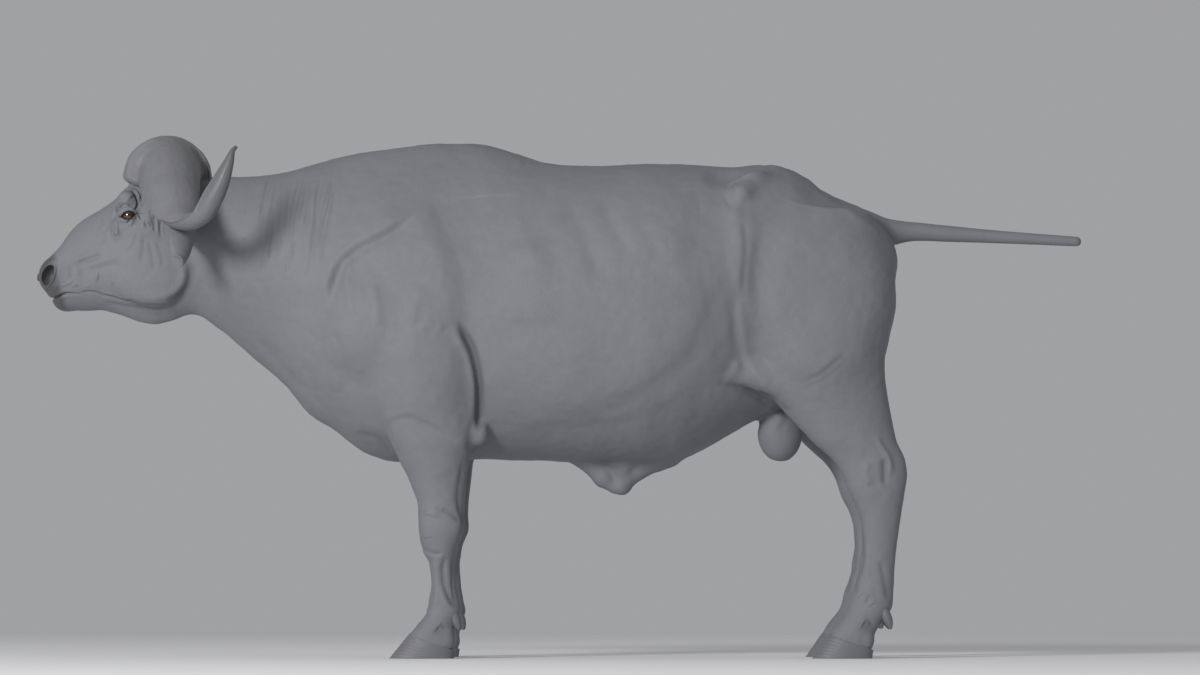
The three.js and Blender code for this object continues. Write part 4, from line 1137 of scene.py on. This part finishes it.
class BUFFALO_OT_hide(bpy.types.Operator):
    """Makes the hide of the whole animal, with its ears, folds and muscle lines"""

    bl_idname = "buffalo.hide"
    bl_label = "Hide"

    def execute(self, context):
        sizes = context.scene.buffalo_hide
        cell = sizes.grain / MM * 1
        points, faces = sampled_surface(hide_field, HIDE_LOW, HIDE_HIGH, cell)
        points = settle(hide_field, points, 2)
        mesh = mesh_from("hide", points, faces)

        def near(p, centre, reach):
            away = p - np.array(centre)
            away[:, 1] = np.abs(p[:, 1]) - centre[1]
            return (away**2).sum(1) < reach**2

        def head_neck_legs(p):
            neck = (p[:, 0] < NECK_BACK) & (p[:, 2] > NECK_LOW)
            return (p[:, 0] < HEAD_BACK) | neck | (p[:, 2] < LEG_TOP)

        def face(p):
            lips = (np.abs(p[:, 2] - LIP_LEVEL) < 22) & (p[:, 0] < MOUTH_BACK)
            return near(p, EYE, 62) | near(p, NOSTRIL[0], 42) | lips

        for chosen in (head_neck_legs, face):
            before = refine(mesh, chosen(points_of(mesh)))
            points = points_of(mesh)
            points[before:] = settle(hide_field, points[before:], 2, 3)
            if chosen is face:
                close = face(points)
                points[close] = settle(hide_field, points[close], 2, 2)
            put_points(mesh, points)

        normals = normals_of(mesh)
        outward = fade(normals[:, 1] * np.sign(points[:, 1]), 0.08, 0.4)
        ears = fade(np.abs(points[:, 1]), 128, 146) * (points[:, 0] < -1090) * (points[:, 2] > 1150)
        outward *= 1 - ears
        drawings = [
            draw_lines(points, outward, FLANK_LINES + neck_wrinkles()),
            draw_lines(points, outward * (points[:, 0] < FACE_LINES_BACK), FACE_LINES),
            draw_lines(points, (points[:, 2] < LEG_LINES_TOP) * 1.0, LEG_LINES),
        ]
        heights, creases = sum(drawing[0] for drawing in drawings), sum(drawing[1] for drawing in drawings)
        toe = np.exp(-(((np.abs(points[:, 1]) - LEG_Y) / TOE_GROOVE_WIDTH) ** 2)) * fade(168 - points[:, 2], 0, 60)
        heights -= TOE_GROOVE_DEPTH * toe * (normals[:, 0] < 0.2)
        heights *= sizes.line_depth
        lips, signed, share = beside(points[:, [0, 2]], smooth_path(MOUTH))
        mouth = (points[:, 0] < MOUTH_BACK) * fade(1 - share, 0, 0.75)
        slit = np.exp(-((lips / MOUTH_WIDTH) ** 2))
        # The mouth's slit takes the darkest painted shade.
        creases = slit * mouth * DARKEST_SHADE_DEPTH + creases
        heights -= MOUTH_DEPTH * slit * mouth
        upper, lower = np.exp(-(((signed - 8) / 6) ** 2)), np.exp(-(((signed + 9) / 7) ** 2))
        heights += LIP_RISE * upper * mouth + LIP_RISE * lower * mouth
        calm = 1 - 0.7 * (points[:, 0] < -1450) - 0.75 * fade(points[:, 0], 1010, 1090)
        calm *= 1 - 0.8 * ears
        heights += sizes.unevenness / MM * calm * (lumps(points, 55, 3) + 0.6 * lumps(points, 21, 4))
        points += normals * heights[:, None]
        put_points(mesh, points)

        # Painted shade: the "folds" attribute darkens the colour in narrow creases and the mouth slit, by their
        # depth.
        deep = np.clip(creases / DARKEST_SHADE_DEPTH, 0, 1) * CREASE_SHADE_SHARE
        muzzle = fade(-1548 - points[:, 0] + 0.25 * (1190 - points[:, 2]), 0, 26)
        lids = np.exp(-((np.abs(aperture_field(points[:, 0], np.full(len(points), 150.0), points[:, 2])) / 4) ** 2))
        lids *= near(points, EYE, 34)
        for label, values in (("folds", deep), ("bare", np.maximum(muzzle, lids))):
            mesh.attributes.new(label, "FLOAT", "POINT").data.foreach_set("value", values.astype(np.float32))
        flesh = ["head", "neck", "torso", "tail", "sheath", "scrotum"]
        flesh += [part + side for part in ("ear_", "foreleg_", "hindleg_") for side in SIDES]
        piece("hide", mesh, hide_material(context.scene.buffalo_finish), "hide", flesh)
        return {"FINISHED"}


class BUFFALO_OT_horns(bpy.types.Operator):
    """Makes the broad boss and the hooked horns"""

    bl_idname = "buffalo.horns"
    bl_label = "Horns"

    def execute(self, context):
        sizes = context.scene.buffalo_horns
        material = horn_material(context.scene.buffalo_finish)
        rows = table([(i, *row) for i, row in enumerate(HORN)])
        t = np.linspace(0, 1, sizes.rings) ** 0.9 * (len(HORN) - 1)
        x, y, z, half, rise, depth, edge = rows(t)
        centre = np.stack([x, y, z], 1)
        forward = np.gradient(centre, axis=0)
        forward /= np.linalg.norm(forward, axis=1)[:, None]
        forward[0] = (0, 1, 0)
        wide = np.array((1.0, 0, 0)) - forward[:, :1] * forward
        wide /= np.linalg.norm(wide, axis=1)[:, None]
        up = np.cross(wide, forward)
        angle = 2 * np.pi * np.arange(sizes.sides) / sizes.sides
        lift = np.where(np.sin(angle) > 0, rise[:, None], depth[:, None])
        lift = lift * np.where(np.cos(angle) < 0, (np.abs(np.sin(angle)) + 1e-6) ** edge[:, None], 1)
        sideways = wide[:, None] * np.cos(angle)[:, None] * half[:, None, None]
        out = sideways + up[:, None] * (np.sin(angle) * lift)[..., None]
        rings = centre[:, None] + out
        away = out / np.maximum(np.linalg.norm(out, axis=2), 1e-6)[..., None]
        share = (t / t[-1])[:, None] * np.ones(sizes.sides)
        flat = rings.reshape(-1, 3)
        around = np.stack([angle * np.ones((sizes.rings, 1)) * HORN_GIRTH, share * 260, share * 0], 2).reshape(-1, 3)
        base = np.clip(1.1 - 2.2 * share.ravel(), 0.0, 1)
        furrow = sizes.furrow / MM
        rough = furrow * base * (0.5 * lumps(around, 12, 11) + 0.3 * lumps(around * (1, 1.6, 1), 6, 12))
        rough += 1.1 * furrow * base * lumps(flat, 44, 13) + 0.3 * furrow * base * np.minimum(lumps(flat, 11, 15), 0)
        ahead = fade(-1225 - flat[:, 0], 0, 60) * fade(flat[:, 2], 1440, 1520)
        for sign, (place, width, height) in ((-1, BOSS_VALLEY), (1, BOSS_CREST)):
            rough += sign * height * np.exp(-(((flat[:, 1] - place) / width) ** 2)) * ahead
        turn = np.abs(np.tile(angle, sizes.rings) - np.pi) * np.repeat(half, sizes.sides) / HORN_GIRTH
        past = np.repeat(fade(t, 2, 3.2) * (1 - fade(t, 10, 12)), sizes.sides)
        rough += HORN_RIM[1] * np.exp(-((turn / HORN_RIM[0]) ** 2)) * past
        rough += 0.5 * np.clip(1 - share.ravel(), 0, 1) * lumps(around * (1, 0.3, 1), 5, 14)
        rings = (flat + away.reshape(-1, 3) * rough[:, None]).reshape(rings.shape)
        for side, sign in zip(SIDES, (-1, 1)):
            mesh = ring_mesh("horn_" + side, rings * (1, sign, 1), sign < 0)
            values = np.concatenate([np.clip(share.ravel() * 1.8 - 0.9, 0, 1), [0, 1]])
            mesh.attributes.new("tip", "FLOAT", "POINT").data.foreach_set("value", values.astype(np.float32))
            piece("horn_piece_" + side, mesh, material, "horn", ["horn_" + side])
        return {"FINISHED"}


def ring_mesh(name, rings, flip):
    """A closed mesh through rings of points, with a middle point at each end."""
    count, sides = rings.shape[:2]
    index = np.arange(count * sides).reshape(count, sides)
    step = np.roll(index, -1, 1)
    quads = np.stack([index[:-1], index[1:], step[1:], step[:-1]], 2).reshape(-1, 4)
    points = np.concatenate([rings.reshape(-1, 3), rings[:1].mean(1), rings[-1:].mean(1)])
    hub = count * sides
    first = [(hub, a, b) for a, b in zip(index[0], step[0])]
    last = [(hub + 1, b, a) for a, b in zip(index[-1], step[-1])]
    mesh = bpy.data.meshes.new(name)
    faces = [tuple(q) for q in quads] + first + last
    if flip:
        faces = [f[::-1] for f in faces]
    mesh.from_pydata([tuple(p * MM) for p in points], [], [tuple(int(i) for i in f) for f in faces])
    mesh.update()
    grid = bmesh.new()
    grid.from_mesh(mesh)
    bmesh.ops.recalc_face_normals(grid, faces=grid.faces)
    grid.to_mesh(mesh)
    grid.free()
    return mesh


class BUFFALO_OT_eyes(bpy.types.Operator):
    """Makes both eyeballs, with a level pupil"""

    bl_idname = "buffalo.eyes"
    bl_label = "Eyes"

    def execute(self, context):
        material = eye_material(context.scene.buffalo_finish)
        for side, sign in zip(SIDES, (-1, 1)):
            ball = bmesh.new()
            bmesh.ops.create_icosphere(ball, subdivisions=5, radius=EYE_RADIUS * MM)
            mesh = bpy.data.meshes.new("eye_" + side)
            ball.to_mesh(mesh)
            ball.free()
            points = points_of(mesh)
            facing = points[:, 1] * sign / EYE_RADIUS
            points *= 1 + 0.03 * fade(facing, 0.8, 1)[:, None]
            px, pz = turned(points[:, 0], points[:, 2], APERTURE[2])
            pupil = 1 - fade(np.hypot(px / 8.5, pz / 4), 0.8, 1.05)
            put_points(mesh, points + np.array((EYE[0], sign * EYE[1], EYE[2])))
            values = (pupil * (facing > 0)).astype(np.float32)
            mesh.attributes.new("pupil", "FLOAT", "POINT").data.foreach_set("value", values)
            piece("eye_piece_" + side, mesh, material, "eye", ["eye_" + side])
        return {"FINISHED"}


def claw_rings(foot, out, sign):
    """One claw of a hoof from its sole to the coronet, as rings of points with a rounded lower edge."""
    toe_top, heel_top, toe, heel = foot
    a = 2 * np.pi * np.arange(CLAW_SIDES) / CLAW_SIDES
    s = (1 - np.cos(a)) / 2
    rings = []
    for t in np.linspace(1, 0, CLAW_LEVELS):
        front, back = toe_top[0] + t * (toe - toe_top[0]), heel_top[0] + t * (heel - heel_top[0])
        width = np.where(np.sin(a) > 0, CLAW_WIDTH * CLAW_OUTER, CLAW_WIDTH * CLAW_INNER)
        flare = 0.93 + 0.07 * t - 0.035 * max(t - 0.93, 0) / 0.07
        y = CLEFT / 2 + CLAW_WIDTH * CLAW_INNER + width * flare * np.sign(np.sin(a)) * np.abs(np.sin(a)) ** 0.8
        top = toe_top[1] + s * (heel_top[1] - toe_top[1]) - 0.3
        across = sign * (LEG_Y + out * (y - 6 * (1 - s) ** 3))
        rings.append(np.stack([front + s * (back - front), across, (1 - t) * top], 1))
    return np.array(rings)


class BUFFALO_OT_hooves(bpy.types.Operator):
    """Makes the cloven hooves and the dewclaws behind them"""

    bl_idname = "buffalo.hooves"
    bl_label = "Hooves"

    def execute(self, context):
        ring_height = context.scene.buffalo_horns.hoof_ring / MM
        material = hoof_material(context.scene.buffalo_finish)
        for leg, foot, spur in zip(("foreleg", "hindleg"), HOOVES, DEWCLAWS):
            for side, sign in zip(SIDES, (-1, 1)):
                for which, out in (("inner", -1), ("outer", 1)):
                    rings = claw_rings(foot, out, sign)
                    middle = rings.mean(1, keepdims=True)
                    away = rings - middle
                    away[..., 2] = 0
                    away /= np.linalg.norm(away, axis=2, keepdims=True) + 1e-9
                    level = np.linspace(1, 0, len(rings))[:, None]
                    drift = lumps(rings.reshape(-1, 3), 30, 21).reshape(rings.shape[:2])
                    wave = np.sin((1 - level) * 46 + 1.2 * drift)
                    growth = ring_height * wave * fade(1 - level, 0.02, 0.1) * fade(level, 0, 0.05)
                    rings = rings + away * growth[..., None]
                    mesh = ring_mesh("hoof", rings, False)
                    name = f"{leg}_hoof_{which}_{side}"
                    piece(name + "_piece", mesh, material, "hoof", [name])
                    mesh = ring_mesh("dewclaw", dewclaw_rings(spur, out, sign), False)
                    name = f"{leg}_dewclaw_{which}_{side}"
                    piece(name + "_piece", mesh, material, "hoof", [name])
        return {"FINISHED"}


def dewclaw_rings(spur, out, sign):
    """A small blunt claw that hangs behind the fetlock."""
    t = np.linspace(0, 1, DEWCLAW_LEVELS)[:, None]
    a = 2 * np.pi * np.arange(DEWCLAW_SIDES) / DEWCLAW_SIDES
    size = DEWCLAW_HALF * np.sqrt(1 - (0.985 * t) ** 2.4) * (0.8 + 0.2 * np.sin(np.pi * t))
    size = size * (1 + 0.012 * np.sin(t * 55))
    return np.stack(
        [
            spur[0] - 8 + 20 * t + size * 1.05 * np.cos(a),
            sign * (LEG_Y + out * DEWCLAW_APART / 2 + size * np.sin(a)),
            spur[1] + DEWCLAW_LENGTH / 2 - DEWCLAW_LENGTH * t + 0 * a,
        ],
        2,
    )


class BUFFALO_OT_stage(bpy.types.Operator):
    """Makes the plain floor, the lamp, the even light round it and the camera"""

    bl_idname = "buffalo.stage"
    bl_label = "Stage"

    def execute(self, context):
        scene = context.scene
        material, _, _, shader = start_material("Floor", Roughness=0.9, Specular_IOR_Level=0.1)
        shader.inputs["Base Color"].default_value = (*scene.buffalo_finish.floor_colour, 1)
        grid = bmesh.new()
        bmesh.ops.create_circle(grid, cap_ends=True, segments=128, radius=FLOOR_RADIUS)
        mesh = bpy.data.meshes.new("floor")
        grid.to_mesh(mesh)
        grid.free()
        floor = bpy.data.objects.new("floor", mesh)
        scene.collection.objects.link(floor)
        floor.data.materials.append(material)

        world = bpy.data.worlds.new("Studio")
        scene.world = world
        world.use_nodes = True
        sky = world.node_tree.nodes["Background"]
        sky.inputs["Color"].default_value = SKY_COLOUR
        sky.inputs["Strength"].default_value = 1.0

        lamp = bpy.data.lights.new("key", "AREA")
        lamp.shape, lamp.size, lamp.energy = "DISK", LAMP_SIZE, LAMP_POWER
        key = bpy.data.objects.new("key", lamp)
        key.location = LAMP_PLACE
        key.visible_camera = False
        key.rotation_mode = "QUATERNION"
        key.rotation_quaternion = (Vector(LAMP_AIM) - key.location).to_track_quat("-Z", "Y")
        scene.collection.objects.link(key)

        lens = bpy.data.cameras.new("photo_camera")
        lens.sensor_width, lens.lens = SENSOR_WIDTH, SENSOR_WIDTH * FOCAL_LENGTH / PICTURE_WIDTH
        camera = bpy.data.objects.new("photo_camera", lens)
        camera.location = CAMERA_PLACE
        camera.rotation_euler = (math.radians(90 + CAMERA_TILT), 0, 0)
        scene.collection.objects.link(camera)
        scene.camera = camera
        scene.view_settings.view_transform = "Standard"
        return {"FINISHED"}


class BUFFALO_PT_parts(bpy.types.Panel):
    """Lists the buffalo's parts, sizes and colours"""

    bl_idname = "BUFFALO_PT_parts"
    bl_label = "African buffalo"
    bl_space_type = "VIEW_3D"
    bl_region_type = "UI"
    bl_category = "Buffalo"

    def draw(self, context):
        layout = self.layout
        for operator in OPERATORS:
            layout.operator(operator.bl_idname)
        for holder in ("buffalo_hide", "buffalo_horns", "buffalo_finish"):
            box = layout.box()
            settings = getattr(context.scene, holder)
            for key in settings.__annotations__:
                box.prop(settings, key)


OPERATORS = [BUFFALO_OT_hide, BUFFALO_OT_horns, BUFFALO_OT_eyes, BUFFALO_OT_hooves, BUFFALO_OT_stage]
CLASSES = [HideSizes, HornSizes, Finish, *OPERATORS, BUFFALO_PT_parts]


def register():
    for cls in CLASSES:
        bpy.utils.register_class(cls)
    bpy.types.Scene.buffalo_hide = bpy.props.PointerProperty(type=HideSizes)
    bpy.types.Scene.buffalo_horns = bpy.props.PointerProperty(type=HornSizes)
    bpy.types.Scene.buffalo_finish = bpy.props.PointerProperty(type=Finish)


def unregister():
    for holder in ("buffalo_hide", "buffalo_horns", "buffalo_finish"):
        delattr(bpy.types.Scene, holder)
    for cls in reversed(CLASSES):
        bpy.utils.unregister_class(cls)


def main():
    register()
    bpy.ops.buffalo.hide()
    bpy.ops.buffalo.horns()
    bpy.ops.buffalo.eyes()
    bpy.ops.buffalo.hooves()
    bpy.ops.buffalo.stage()


if __name__ == "__main__":
    main()
